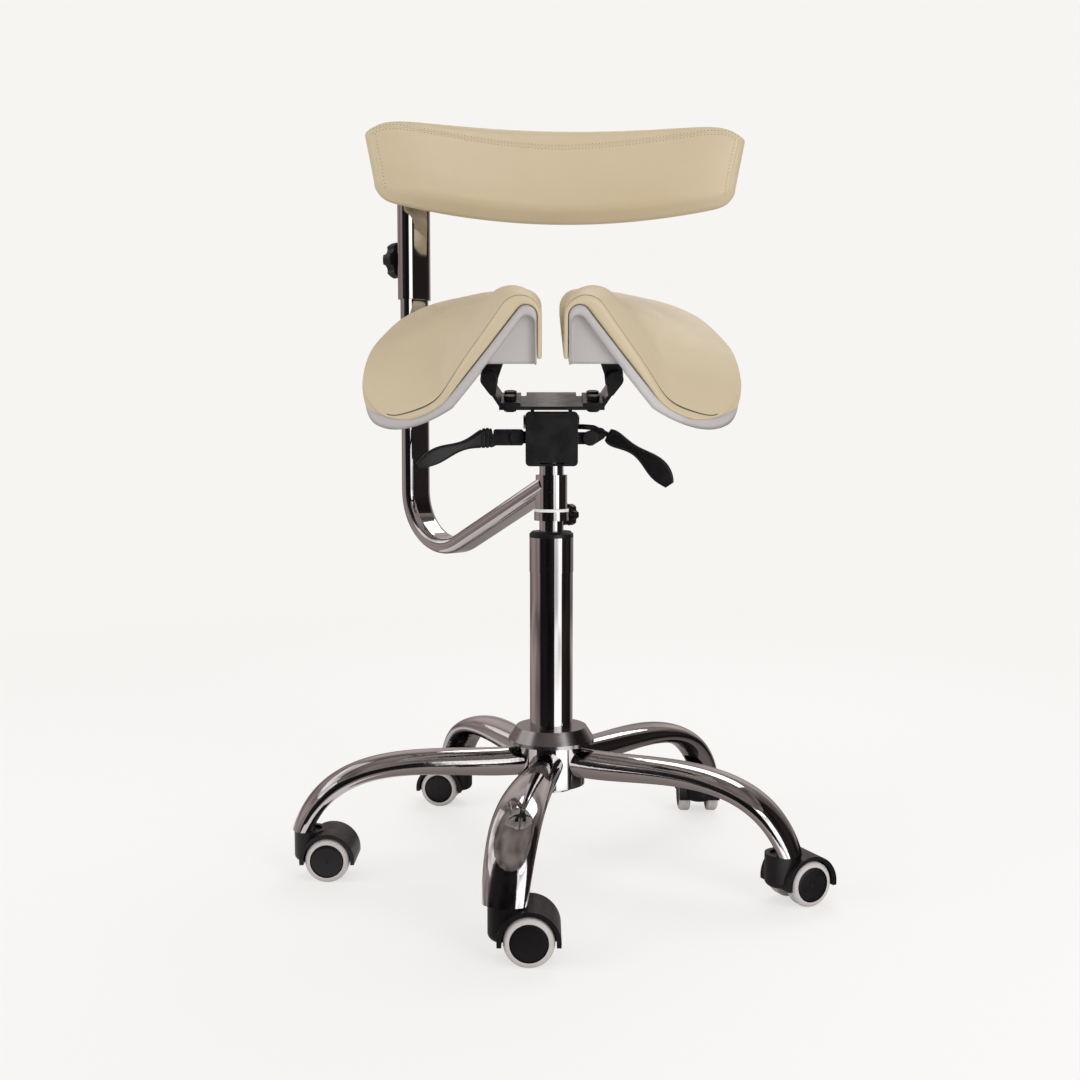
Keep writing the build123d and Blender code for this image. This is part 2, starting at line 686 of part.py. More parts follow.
def backrest_screws():
    screws = []
    for place in back_screws():
        shank = screw_bar(place, screw_radius - fit_clearance, board_outer - screw_bite, strap_outer)
        head = screw_bar(place, screw_head_radius, strap_outer, strap_outer + screw_head)
        screws.append(back_place() * (shank + head))
    return screws


def lug(pivot_x, pivot_z):
    """Ear on the box's side that carries a lever pin."""
    side = 1 if pivot_x > 0 else -1
    root = side * (box_half_width - box_wall / 2)
    sketch = hull_of_two(pivot_x, pivot_z, lug_radius, root, pivot_z, lug_radius)
    back = lever_y + lever_plate / 2 + lug_gap
    return prism(sketch, back, back + lug_plate)


def mechanism_housing():
    width, height = 2 * box_half_width, box_top - box_bottom
    middle = (box_top + box_bottom) / 2
    outline = Pos(0, middle) * RectangleRounded(width, height, box_corner)
    room_width, room_height = width - 2 * box_wall, height - 2 * box_wall
    inside = Pos(0, middle) * RectangleRounded(room_width, room_height, box_corner - box_wall)
    box = prism(outline, box_front, box_back)
    for x, z in ((left_pivot_x, left_pivot_z), (right_pivot_x, right_pivot_z)):
        box += lug(x, z)
        back = lever_y + lever_plate / 2
        box -= bar(pin_radius, (x, back, z), (x, back + 3 * lug_plate, z))
    box -= prism(inside, box_front + box_wall, box_back - box_wall)
    window_back = box_back - box_wall
    box -= Pos(0, (box_window_front + window_back) / 2, box_top) * Box(
        width - 2 * box_window_side, window_back - box_window_front, 3 * box_wall
    )
    box -= bar(socket_radius, (0, 0, 0), (0, 0, middle))
    box -= Pos(0, box_front, box_bottom) * Box(box_notch_width, 3 * box_wall, 2 * box_notch_height)
    box -= bar(tilt_axle_radius, (-width, axle_y, axle_z), (width, axle_y, axle_z))
    rod_slot = 2 * lever_rod_radius + 2 * slot_room
    box -= Pos(box_half_width, lever_y / 2, rod_height) * Box(3 * box_wall, abs(lever_y), rod_slot)
    finger_slot = finger_height + 2 * slot_room
    box -= Pos(-box_half_width, lever_y, left_pivot_z) * Box(3 * box_wall, 2 * lever_plate, finger_slot)
    return box


def taper_socket():
    return turned(
        [
            (cylinder_radius, box_bottom),
            (socket_radius, box_bottom),
            (socket_radius, socket_top),
            (cone_radius(socket_top), socket_top),
        ]
    )


def cone_radius(height):
    return cylinder_radius - taper_narrowing * (height - box_bottom) / taper_length


def tilt_axle():
    inner, outer = box_half_width, box_half_width + axle_head
    pin = bar(tilt_axle_radius, (-inner, axle_y, axle_z), (inner, axle_y, axle_z))
    for side in (-1, 1):
        pin += bar(axle_head_radius, (side * inner, axle_y, axle_z), (side * outer, axle_y, axle_z))
    return pin


def lever_pins():
    pins = []
    front = lever_y - lever_plate / 2 - lug_gap
    back = lever_y + lever_plate / 2 + lug_gap + lug_plate
    for x, z in ((left_pivot_x, left_pivot_z), (right_pivot_x, right_pivot_z)):
        head = bar(pin_head_radius, (x, front - pin_head, z), (x, front, z))
        head = fillet(head.faces().sort_by(Axis.Y)[0].edges(), pin_head / 3)
        pins.append(head + bar(pin_radius, (x, front, z), (x, back, z)))
    return pins


def lever_hole(x, z):
    reach = 2 * lever_plate
    return bar(pin_radius + running_clearance, (x, lever_y - reach, z), (x, lever_y + reach, z))


def tilt_lever_plate():
    """Flat steel lever: tall blade, thin finger into the box, tongue into the grip."""
    x, z = left_pivot_x, left_pivot_z
    blade_end, finger_end = -box_half_width - blade_gap, -socket_radius - finger_gap
    outline = RectangleRounded(blade_end - left_plate_end, left_plate_height, blade_corner)
    blade = Pos((left_plate_end + blade_end) / 2, z) * outline
    blade += Pos(x, z) * Circle(pin_head_radius)
    blade += Pos((x + finger_end) / 2, z) * Rectangle(finger_end - x, finger_height)
    tongue_start = left_plate_end - tongue_length
    blade += Pos((x + tongue_start) / 2, z) * Rectangle(x - tongue_start, tongue_height)
    return prism(blade, lever_y - lever_plate / 2, lever_y + lever_plate / 2) - lever_hole(x, z)


def grip_loft(start, side, stations, inset=0):
    """Loft through rounded sections from the grip's start, out to one side, thinned all round by inset."""
    x, y, z = start
    faces = []
    for out, forward, down, height, depth, slope in stations:
        turn = radians(slope)
        along = (side * cos(turn), 0, -sin(turn))
        plane = Plane((x + side * out, y - forward, z - down), x_dir=(0, 1, 0), z_dir=along)
        round_off = min(depth, height) * grip_round - inset
        faces.append(plane * RectangleRounded(depth - 2 * inset, height - 2 * inset, round_off))
    return loft(faces)


def tilt_lever_grip():
    """Paddle grip with a few grooves round its start."""
    start = (left_plate_end, lever_y, left_pivot_z)
    grip = grip_loft(start, -1, tilt_grip_stations)
    core = grip_loft(start, -1, tilt_grip_stations, grip_groove_depth)
    for number in range(1, grip_groove_count + 1):
        x = left_plate_end - number * grip_groove_pitch
        grip -= Pos(x, lever_y, left_pivot_z) * Box(grip_groove_width, box_top, box_top) - core
    return grip - tilt_lever_plate()


def height_lever_line():
    """Bent rod from over the valve pin, out through the box's side and down into the grip."""
    wall = box_half_width
    inside = [(rod_end_x, 0, rod_height), (wall - rod_inner_bend, 0, rod_height)]
    return inside + [(wall + out, lever_y - forward, rod_height - down) for out, forward, down in rod_bends]


def height_lever_rod():
    line = FilletPolyline(*height_lever_line(), radius=rod_bend_radius)
    start = Plane((rod_end_x, 0, rod_height), z_dir=(1, 0, 0))
    rod = sweep(start * Circle(lever_rod_radius), path=line)
    x, z = right_pivot_x, right_pivot_z
    link = hull_of_two(x, z, pin_head_radius, x + link_reach, z + link_rise, link_radius)
    plate = prism(link, lever_y - lever_plate / 2, lever_y + lever_plate / 2)
    return rod + plate - lever_hole(x, z)


def height_lever_grip():
    return grip_loft(height_lever_line()[-2], 1, height_grip_stations) - height_lever_rod()


def tipped(shape):
    """Tip a level shape forward about the X direction to where the photo holds it."""
    return Pos(0, 0, axle_z) * Rot(seat_tilt, 0, 0) * Pos(0, 0, -axle_z) * shape


def side_prism(sketch, inner, outer):
    """A sketch drawn in Y and Z, pulled along +X from inner to outer."""
    return extrude(Plane((inner, 0, 0), x_dir=(0, 1, 0), z_dir=(1, 0, 0)) * sketch, outer - inner)


def tilt_plate():
    wide = [
        (-plate_half_width, plate_front),
        (plate_half_width, plate_front),
        (plate_half_width, plate_step),
        (plate_tail_half_width, plate_step),
        (plate_tail_half_width, plate_back),
        (-plate_tail_half_width, plate_back),
        (-plate_tail_half_width, plate_step),
        (-plate_half_width, plate_step),
    ]
    plate = Pos(0, 0, plate_bottom) * extrude(make_face(Polyline(*wide, close=True)), plate_thickness)
    y, z = axle_y * cos(tip), axle_z - axle_y * sin(tip)
    ear = Pos(y, z) * Circle(ear_radius)
    ear += Pos(y, (z + plate_bottom) / 2) * Rectangle(2 * ear_radius, plate_bottom - z)
    ear -= Pos(y, z) * Circle(tilt_axle_radius + running_clearance)
    for inner in (ear_inner, -ear_inner - ear_thickness):
        plate += side_prism(ear, inner, inner + ear_thickness)
    for bolt_y in bolt_ys:
        for side in (-1, 1):
            plate -= bar(bolt_radius, (side * bolt_x, bolt_y, 0), (side * bolt_x, bolt_y, 2 * plate_top))
    return tipped(plate)


def plate_bolts():
    bolts = []
    under, over = plate_bottom, plate_top + bracket_thickness
    for bolt_y in bolt_ys:
        for side in (-1, 1):
            head = extrude(RegularPolygon(bolt_head_radius, 6), bolt_head)
            bolt = Pos(0, 0, over) * head + Pos(0, 0, under - bolt_head) * head
            bolt += bar(bolt_radius - fit_clearance, (0, 0, under), (0, 0, over))
            bolts.append(tipped(Pos(side * bolt_x, bolt_y, 0) * bolt))
    return bolts


def mirrored_pair(shape):
    return [tipped(shape), tipped(mirror(shape, Plane.YZ))]


def hinge_brackets():
    """Bent bracket each side: foot on the plate, web rising outwards, two ears round the hinge pin."""
    t = bracket_thickness
    web_top = hinge_z - hinge_ear_radius - web_room
    bend = atan2(web_top - plate_top, hinge_outset + t / 2)
    profile = Polyline(
        (foot_inner, plate_top),
        (plate_half_width, plate_top),
        (hinge_x + t / 2, web_top),
        (hinge_x + t / 2 - t / sin(bend), web_top),
        (plate_half_width - t * tan(bend / 2), plate_top + t),
        (foot_inner, plate_top + t),
        close=True,
    )
    bracket = prism(make_face(profile), hinge_front, hinge_back)
    ear = hull_of_two(hinge_x, hinge_z, hinge_ear_radius, hinge_x - t, web_top - t, t)
    for front in (hinge_front, hinge_back - hinge_ear):
        bracket += prism(ear, front, front + hinge_ear)
    bracket -= bar(hinge_pin_radius, (hinge_x, 2 * hinge_front, hinge_z), (hinge_x, 2 * hinge_back, hinge_z))
    for bolt_y in bolt_ys:
        bracket -= bar(bolt_radius, (bolt_x, bolt_y, 0), (bolt_x, bolt_y, hinge_z))
    return mirrored_pair(bracket)


def hinge_pins():
    x, z = hinge_x, hinge_z
    pin = bar(hinge_pin_radius, (x, hinge_front, z), (x, hinge_back, z))
    for y, way in ((hinge_front, -1), (hinge_back, 1)):
        pin += bar(hinge_head_radius, (x, y, z), (x, y + way * hinge_head, z))
    return mirrored_pair(pin)


def seat_mount():
    """Plate under the seat shell with two lugs on the hinge pin."""
    under = shell_floor - mount_thickness
    inner, outer = hinge_x - mount_inset, hinge_x + mount_outset
    outline = RectangleRounded(outer - inner, mount_back - mount_front, mount_thickness * 2)
    middle = Pos((inner + outer) / 2, (mount_front + mount_back) / 2, under)
    plate = middle * extrude(outline, mount_thickness)
    eye, root = hinge_ear_radius, hinge_ear_radius * lug_spread
    lug_shape = hull_of_two(hinge_x, hinge_z, eye, hinge_x - lug_lean, under, root)
    lug_shape -= Pos(hinge_x, under + root) * Rectangle(6 * root, 2 * root)
    lug_shape -= Pos(hinge_x, hinge_z) * Circle(hinge_pin_radius + running_clearance)
    step = hinge_ear + lug_side_gap
    for front in (hinge_front + step, hinge_back - step - lug_thickness):
        plate += prism(lug_shape, front, front + lug_thickness)
    return plate


def tangent_corner(wall, top, radius, knee_x, knee_z):
    """Height where the slope through the knee, touching the crest's round, meets the inner wall."""
    cx, cz = wall + radius, top - radius
    reach = hypot(knee_x - cx, knee_z - cz)
    touch = atan2(knee_z - cz, knee_x - cx) + acos(radius / reach)
    tx, tz = cx + radius * cos(touch), cz + radius * sin(touch)
    return knee_z + (knee_x - wall) * (tz - knee_z) / (knee_x - tx)


def placed(station):
    """A station with its heights counted from the floor under the stool."""
    y, crest, out_x, out_z, knee_x, knee_z, padding = station
    return y, shell_floor + crest, out_x, shell_floor + out_z, knee_x, shell_floor + knee_z, padding


def sunk_knee(station, depth):
    """The station's knee point moved square to the slope, into the seat."""
    _, crest, out_x, out_z, knee_x, knee_z, _ = station
    slope = atan2(out_z - crest, out_x - half_gap)
    return knee_x + depth * sin(slope), knee_z - depth * cos(slope)


def cushion_section(station):
    y, crest, out_x, out_z, knee_x, knee_z, padding = station
    inner_wall = half_gap + skirt_wall
    low_x, low_z = sunk_knee(station, padding)
    points = [
        (half_gap, skirt_bottom),
        (half_gap, tangent_corner(half_gap, crest, crest_radius, knee_x, knee_z)),
        (knee_x, knee_z),
        (out_x, out_z),
        (out_x - shell_edge_inset, out_z - cushion_edge),
        (low_x, low_z),
        (inner_wall, tangent_corner(inner_wall, crest - padding, inner_crest_radius, low_x, low_z)),
        (inner_wall, skirt_bottom),
    ]
    radii = [
        skirt_round,
        crest_radius,
        knee_radius,
        edge_radius,
        lip_radius,
        knee_radius,
        inner_crest_radius,
        skirt_round,
    ]
    face = make_face(FilletPolyline(*points, radius=radii, close=True))
    return Plane((0, y, 0), x_dir=(1, 0, 0), z_dir=(0, -1, 0)) * face


def shell_section(station):
    y, crest, out_x, out_z, _, _, padding = station
    wall = half_gap + skirt_wall + seat_gap
    sunk = padding + seat_gap
    radius = inner_crest_radius - seat_gap
    top_x, top_z = sunk_knee(station, sunk)
    low_x, low_z = sunk_knee(station, sunk + shell_thickness)
    edge_x, edge_z = out_x - shell_edge_inset, out_z - cushion_edge - seat_gap
    corner = tangent_corner(wall, crest - sunk, radius, top_x, top_z)
    fall = (corner - top_z) / (top_x - wall)
    floor_inset = max((shell_floor - low_z) / fall, shell_floor_inset)
    points = [
        (wall, shell_floor),
        (wall, corner),
        (top_x, top_z),
        (edge_x, edge_z),
        (edge_x - shell_edge_inset, edge_z - shell_thickness),
        (low_x, low_z),
        (low_x - floor_inset, shell_floor),
    ]
    radii = [wall_round, radius, knee_radius, lip_radius, lip_radius, low_knee_radius, floor_round]
    face = make_face(FilletPolyline(*points, radius=radii, close=True))
    return Plane((0, y, 0), x_dir=(1, 0, 0), z_dir=(0, -1, 0)) * face


def round_corner(shape):
    """Keeps what lies inside the seat's plan, whose front outer corner is a quarter of an ellipse."""
    front, back = seat_stations[0][0], seat_stations[-1][0]
    side = max(s[2] for s in seat_stations) + corner_room
    centre, across = (corner_start, front + corner_length), side - corner_start
    arc = EllipticalCenterArc(centre, across, corner_length, start_angle=270, arc_size=90)
    rest = Polyline(arc @ 1, (side, back), (0, back), (0, front), arc @ 0)
    return shape & extrude(make_face([arc, rest]), 2 * shell_floor)


def seat_cushion():
    return round_corner(loft([cushion_section(placed(s)) for s in seat_stations]))


def front_recess():
    """Pocket in the shell's front face, inside the lip that follows the seat's edge."""
    front = placed(seat_stations[0])
    wall = half_gap + skirt_wall + seat_gap + recess_edge
    sunk = front[-1] + seat_gap + recess_lip
    knee_x, knee_z = sunk_knee(front, sunk)
    corner = tangent_corner(wall, front[1] - sunk, recess_round, knee_x, knee_z)
    low = shell_floor - recess_depth
    foot = knee_x - (low - knee_z) * (knee_x - wall) / (corner - knee_z)
    outline = FilletPolyline((wall, low), (wall, corner), (foot, low), radius=recess_round)
    face = make_face([outline, Line((foot, low), (wall, low))])
    return prism(face, front[0] - recess_depth, front[0] + recess_depth)


def seat_shell():
    return round_corner(loft([shell_section(placed(s)) for s in seat_stations])) - front_recess()


def on_side(shape, side):
    return tipped(shape if side == "right" else mirror(shape, Plane.YZ))


nodes = {
    "base_hub": base_hub(),
    "hub_cover": hub_cover(),
    "caster_stems": caster_stems(),
    "column_tube": column_tube(),
    "column_bush": column_bush(),
    "thrust_bearing": thrust_bearing(),
    "piston_rod": piston_rod(),
    "rod_clip": rod_clip(),
    "pressure_tube": pressure_tube(),
    "valve_pin": valve_pin(),
    "clamp_ring": clamp_ring(),
    "clamp_knob": clamp_knob(),
    "arm_washer": arm_washer(),
    "arm_collar": arm_collar(),
    "arm_bush": arm_bush(),
    "arm_tube": arm_tube(),
    "backrest_sleeve": backrest_sleeve(),
    "backrest_knob": backrest_knob(),
    "backrest_bracket": backrest_bracket(),
    "backrest_screws": backrest_screws(),
    "backrest_board": backrest_board(),
    "backrest_cushion": backrest_cushion(),
    "mechanism_housing": mechanism_housing(),
    "taper_socket": taper_socket(),
    "tilt_axle": tilt_axle(),
    "lever_pins": lever_pins(),
    "tilt_lever_plate": tilt_lever_plate(),
    "tilt_lever_grip": tilt_lever_grip(),
    "height_lever_rod": height_lever_rod(),
    "height_lever_grip": height_lever_grip(),
    "tilt_plate": tilt_plate(),
    "plate_bolts": plate_bolts(),
    "hinge_brackets": hinge_brackets(),
    "hinge_pins": hinge_pins(),
}
for side in ("left", "right"):
    nodes[f"seat_mount_{side}"] = on_side(seat_mount(), side)
    nodes[f"seat_shell_{side}"] = on_side(seat_shell(), side)
    nodes[f"seat_cushion_{side}"] = on_side(seat_cushion(), side)
for number in range(leg_count):
    nodes[f"base_leg_{number + 1}"] = base_leg(number)
    place = caster_place(number)
    nodes[f"caster_{number + 1}_housing"] = [place * piece for piece in caster_housing()]
    for name, side in (("a", 1), ("b", -1)):
        nodes[f"caster_{number + 1}_wheel_{name}"] = [place * piece for piece in caster_wheel(side)]

os.makedirs("parts", exist_ok=True)
for name, shape in nodes.items():
    pieces = shape if isinstance(shape, list) else [shape]
    solids = [solid for piece in pieces for solid in piece.solids()]
    export_step(Compound(solids), f"parts/{name}.step")
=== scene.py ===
import bpy
import bmesh
import json
import math
import numpy as np
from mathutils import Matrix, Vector
from mathutils.bvhtree import BVHTree


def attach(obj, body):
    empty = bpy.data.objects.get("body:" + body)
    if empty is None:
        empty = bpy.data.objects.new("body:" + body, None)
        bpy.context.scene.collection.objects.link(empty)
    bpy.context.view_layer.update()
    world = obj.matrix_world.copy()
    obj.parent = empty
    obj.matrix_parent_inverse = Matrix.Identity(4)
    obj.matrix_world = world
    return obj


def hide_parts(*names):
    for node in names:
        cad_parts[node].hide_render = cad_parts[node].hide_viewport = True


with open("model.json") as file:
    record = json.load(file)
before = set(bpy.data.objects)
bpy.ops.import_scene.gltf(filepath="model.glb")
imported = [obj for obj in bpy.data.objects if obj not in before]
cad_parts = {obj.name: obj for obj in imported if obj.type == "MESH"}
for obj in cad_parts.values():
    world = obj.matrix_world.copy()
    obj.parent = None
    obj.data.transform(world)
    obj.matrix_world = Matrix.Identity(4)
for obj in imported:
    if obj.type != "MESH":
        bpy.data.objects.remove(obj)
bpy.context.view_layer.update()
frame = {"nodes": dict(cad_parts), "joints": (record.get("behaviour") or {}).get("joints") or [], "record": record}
scene = bpy.context.scene
nodes = frame["nodes"]

# Camera, fitted to the photograph: metres and degrees
CAMERA_PLACE = (-0.0132, -1.4768, 0.508)
CAMERA_DOWN = 4.82
CAMERA_LENS, CAMERA_SENSOR = 42.69, 36.0

# Studio
WHITE = (0.93, 0.913, 0.893)
WORLD_COLOR, WORLD_LEVEL = (1.0, 0.99, 0.975), 0.62
FLOOR_RADIUS, FLOOR_FADE_START, FLOOR_FADE_END = 9.0, 0.9, 2.4
FLOOR_ALBEDO, FLOOR_SEEN, FLOOR_LIFT = 0.82, 0.27, 0.71

# Surroundings that only mirrors see, on cards over the floor, round the stool and above it
SCREEN_RADIUS, SCREEN_TOP, SCREEN_LEVEL = 2.4, 2.6, 1.4
CARD_LIFT, CARD_OVERLAY, CARD_APART, CARD_STEPS = 0.002, 0.003, 0.02, 48
DARK_FRONT, DARK_RIGHT, STRIP = (0.009, 0.008, 0.009), (0.014, 0.011, 0.011), (1.0, 1.0, 1.0)
DIM_BACK, DIM_LEFT = (0.30, 0.265, 0.257), (0.215, 0.18, 0.175)
# Azimuth, counted from the camera's side to the right, and the colour there
SURROUND = [
    (-180, DIM_BACK),
    (-150, DIM_LEFT),
    (-70, DIM_LEFT),
    (-58, DARK_FRONT),
    (14, DARK_FRONT),
    (18, STRIP),
    (53, STRIP),
    (57, DARK_RIGHT),
    (114, DARK_RIGHT),
    (134, DIM_BACK),
    (180, DIM_BACK),
]
# Painted shade of the floor round the stool's foot as mirrors see it, and the radii over which it fades to the
# surroundings
NEAR_FLOOR_SHADE, NEAR_START, NEAR_END = (0.19, 0.165, 0.16), 0.24, 0.46
CEILING, UPPER_LEFT, LEFT_FLOOR = (0.145, 0.125, 0.12), (0.61, 0.58, 0.585), (0.55, 0.52, 0.52)
CARD_NOISE, CARD_NOISE_LOW, CARD_NOISE_HIGH, CARD_SWAY = 0.8, 0.35, 0.65, 0.5

# Colours, linear
LEATHER, LEATHER_DARK = (0.60, 0.50, 0.34), (0.54, 0.445, 0.296)
# Painted shade in seam creases and needle holes is a dark brown; the thread has its own tone
PAINTED_SHADE_BROWN, THREAD_TONE = (0.10, 0.08, 0.055), (0.66, 0.57, 0.42)
SHELL_GREY = (0.50, 0.475, 0.47)
# The hub cover's chrome is darker than the rest, as painted shade
CHROME, SATIN_SHADED_CHROME = (0.60, 0.575, 0.575), (0.36, 0.34, 0.34)
BLACK_PLASTIC = (0.007, 0.006, 0.007)
BLACK_STEEL = (0.006, 0.005, 0.006)
# The washer's pale grey is a painted highlight, in place of the glint of a chrome part
STEEL, WASHER_PAINTED_HIGHLIGHT = (0.56, 0.55, 0.55), (0.80, 0.79, 0.79)
TREAD_GREY = (0.56, 0.52, 0.51)


# Materials
CRISP_ANGLE, WHEEL_DISC_RADIUS = 32, 0.0192


class Shader:
    """A material with one Principled shader, and short calls that add nodes to it."""

    # The range in which most of a noise pattern lies
    NOISE_LOW, NOISE_HIGH = 0.3, 0.7
    BEVEL_SAMPLES = 6

    def __init__(self, name, color, roughness, metallic=0.0, **sockets):
        self.material = bpy.data.materials.new(name)
        self.material.use_nodes = True
        self.tree = self.material.node_tree
        self.bsdf = self.tree.nodes["Principled BSDF"]
        self.set("Base Color", (*color, 1.0))
        self.set("Roughness", roughness)
        self.set("Metallic", metallic)
        for socket, value in sockets.items():
            self.set(socket.replace("_", " "), value)
        coords = self.tree.nodes.new("ShaderNodeTexCoord")
        self.place = coords.outputs["Object"]

    def set(self, socket, value):
        self.bsdf.inputs[socket].default_value = value

    def link(self, source, target):
        self.tree.links.new(source, target)

    def noise(self, scale, detail=2.0, stretch=None):
        node = self.tree.nodes.new("ShaderNodeTexNoise")
        node.inputs["Scale"].default_value = scale
        node.inputs["Detail"].default_value = detail
        self.link(self.stretched(stretch), node.inputs["Vector"])
        return node.outputs["Fac"]

    def cells(self, scale):
        node = self.tree.nodes.new("ShaderNodeTexVoronoi")
        node.feature = "F1"
        node.inputs["Scale"].default_value = scale
        self.link(self.place, node.inputs["Vector"])
        return node.outputs["Distance"]

    def stretched(self, stretch):
        if stretch is None:
            return self.place
        node = self.tree.nodes.new("ShaderNodeMapping")
        node.inputs["Scale"].default_value = stretch
        self.link(self.place, node.inputs["Vector"])
        return node.outputs["Vector"]

    def rough(self, fac, low, high):
        """Roughness that wanders between two values."""
        node = self.tree.nodes.new("ShaderNodeMapRange")
        node.inputs["From Min"].default_value = self.NOISE_LOW
        node.inputs["From Max"].default_value = self.NOISE_HIGH
        node.inputs["To Min"].default_value = low
        node.inputs["To Max"].default_value = high
        self.link(fac, node.inputs["Value"])
        self.link(node.outputs["Result"], self.bsdf.inputs["Roughness"])

    def tint(self, fac, first, second):
        """Colour that wanders between two tones."""
        node = self.tree.nodes.new("ShaderNodeMix")
        node.data_type = "RGBA"
        node.inputs["A"].default_value = (*first, 1.0)
        node.inputs["B"].default_value = (*second, 1.0)
        self.link(fac, node.inputs["Factor"])
        self.link(node.outputs["Result"], self.bsdf.inputs["Base Color"])

    def soften(self, radius):
        """Shades sharp edges as if they were rounded."""
        node = self.tree.nodes.new("ShaderNodeBevel")
        node.samples = self.BEVEL_SAMPLES
        node.inputs["Radius"].default_value = radius
        self.link(node.outputs["Normal"], self.bsdf.inputs["Normal"])

    def bump(self, height, distance, strength=1.0):
        """Adds a height pattern on top of the bumps made before."""
        node = self.tree.nodes.new("ShaderNodeBump")
        node.inputs["Distance"].default_value = distance
        node.inputs["Strength"].default_value = strength
        self.link(height, node.inputs["Height"])
        before = self.bsdf.inputs["Normal"].links
        if before:
            self.link(before[0].from_socket, node.inputs["Normal"])
        self.link(node.outputs["Normal"], self.bsdf.inputs["Normal"])


def leatherette():
    shader = Shader("beige_leatherette", LEATHER, 0.46, Specular_IOR_Level=0.42)
    shader.tint(shader.noise(scale=9.0, detail=3.0), LEATHER_DARK, LEATHER)
    shader.rough(shader.noise(scale=60.0, detail=3.0), low=0.40, high=0.52)
    shader.bump(shader.noise(scale=22.0), distance=0.0006, strength=0.5)
    shader.bump(shader.cells(scale=1300.0), distance=0.00012, strength=0.55)
    return shader.material


def gloss_shell():
    shader = Shader("grey_shell", SHELL_GREY, 0.2, Coat_Weight=0.5, Coat_Roughness=0.06)
    shader.rough(shader.noise(scale=35.0, detail=3.0), low=0.16, high=0.26)
    shader.soften(radius=0.007)
    shader.bump(shader.noise(scale=18.0, detail=1.0), distance=0.0005, strength=0.25)
    return shader.material


def chrome(name="chrome", color=CHROME, low=0.03, high=0.075):
    shader = Shader(name, color, low, metallic=1.0)
    shader.rough(shader.noise(scale=40.0, detail=4.0), low, high)
    shader.bump(shader.noise(scale=11.0, detail=1.0), distance=0.0012, strength=0.12)
    return shader.material


# Painted highlight: a pale plain grey in place of the chrome washer's glint
def painted_highlight_washer():
    shader = Shader("washer", WASHER_PAINTED_HIGHLIGHT, 0.3)
    shader.rough(shader.noise(scale=200.0), low=0.24, high=0.38)
    return shader.material


def black_plastic():
    shader = Shader("black_plastic", BLACK_PLASTIC, 0.36, Specular_IOR_Level=0.34)
    shader.rough(shader.noise(scale=90.0, detail=3.0), low=0.29, high=0.42)
    shader.soften(radius=0.0008)
    shader.bump(shader.cells(scale=1500.0), distance=0.00008, strength=0.5)
    return shader.material


def black_steel():
    shader = Shader("black_steel", BLACK_STEEL, 0.34, Coat_Weight=0.25, Coat_Roughness=0.2)
    shader.rough(shader.noise(scale=70.0, detail=3.0), low=0.28, high=0.42)
    shader.soften(radius=0.0008)
    shader.bump(shader.noise(scale=700.0, detail=1.0), distance=0.00006, strength=0.5)
    return shader.material


def turned_steel():
    shader = Shader("steel", STEEL, 0.28, metallic=1.0)
    rings, fine_rings = (1.0, 1.0, 12.0), (1.0, 1.0, 15.0)
    shader.rough(shader.noise(scale=300.0, detail=3.0, stretch=rings), low=0.2, high=0.36)
    shader.bump(shader.noise(scale=500.0, detail=1.0, stretch=fine_rings), distance=0.00003, strength=0.4)
    return shader.material


def tread_rubber():
    shader = Shader("wheel_tread", TREAD_GREY, 0.5, Specular_IOR_Level=0.4)
    shader.rough(shader.noise(scale=120.0, detail=3.0), low=0.44, high=0.58)
    shader.bump(shader.noise(scale=600.0), distance=0.00006, strength=0.5)
    return shader.material


FINISH = {
    "chrome": chrome(),
    "black_plastic": black_plastic(),
    "black_steel": black_steel(),
    "steel": turned_steel(),
    "grey_shell": gloss_shell(),
    "beige_leatherette": leatherette(),
    "wheel": tread_rubber(),
}
# Painted shade for the crease of a seam and for the needle holes between stitches
PAINTED_SHADE = Shader("painted_shade", PAINTED_SHADE_BROWN, 0.7).material
THREAD = Shader("thread", THREAD_TONE, 0.6).material
# Nodes whose finish differs a little from the rest of their slot: a darker chrome on the hub cover as painted
# shade, and a pale grey on the arm washer as painted highlight
OWN_FINISH = {
    "hub_cover": chrome("satin_shaded_chrome", SATIN_SHADED_CHROME, low=0.16, high=0.24),
    "arm_washer": painted_highlight_washer(),
}


def dress_nodes():
    """Gives every CAD node its finish, and smooth shading with crisp edges."""
    for part in frame["record"]["subparts"]:
        shape = nodes[part["node"]]
        shape.data.materials.clear()
        shape.data.materials.append(OWN_FINISH.get(part["node"], FINISH[part["material_slot"]]))
        shape.data.polygons.foreach_set("use_smooth", [True] * len(shape.data.polygons))
        shape.data.set_sharp_from_angle(angle=math.radians(CRISP_ANGLE))


def dress_wheels():
    """The tread and the black disc of a wheel are one node, so its faces take two finishes by radius."""
    for joint in frame["joints"]:
        if not joint["name"].endswith("_roll"):
            continue
        number, side = joint["child"][-2], joint["child"][-1]
        mesh = nodes[f"caster_{number}_wheel_{side}"].data
        mesh.materials.append(FINISH["black_plastic"])
        centre, axis = Vector(joint["pos_m"]), Vector(joint["axis"])
        for face in mesh.polygons:
            away = [(mesh.vertices[v].co - centre).cross(axis).length for v in face.vertices]
            face.material_index = 1 if max(away) < WHEEL_DISC_RADIUS else 0


# Soft pieces: sizes in millimetres and degrees
MM, TINY = 0.001, 1e-9
# Depth from which a row of a pad counts as a seam
SEAM_LEAST = 1.0
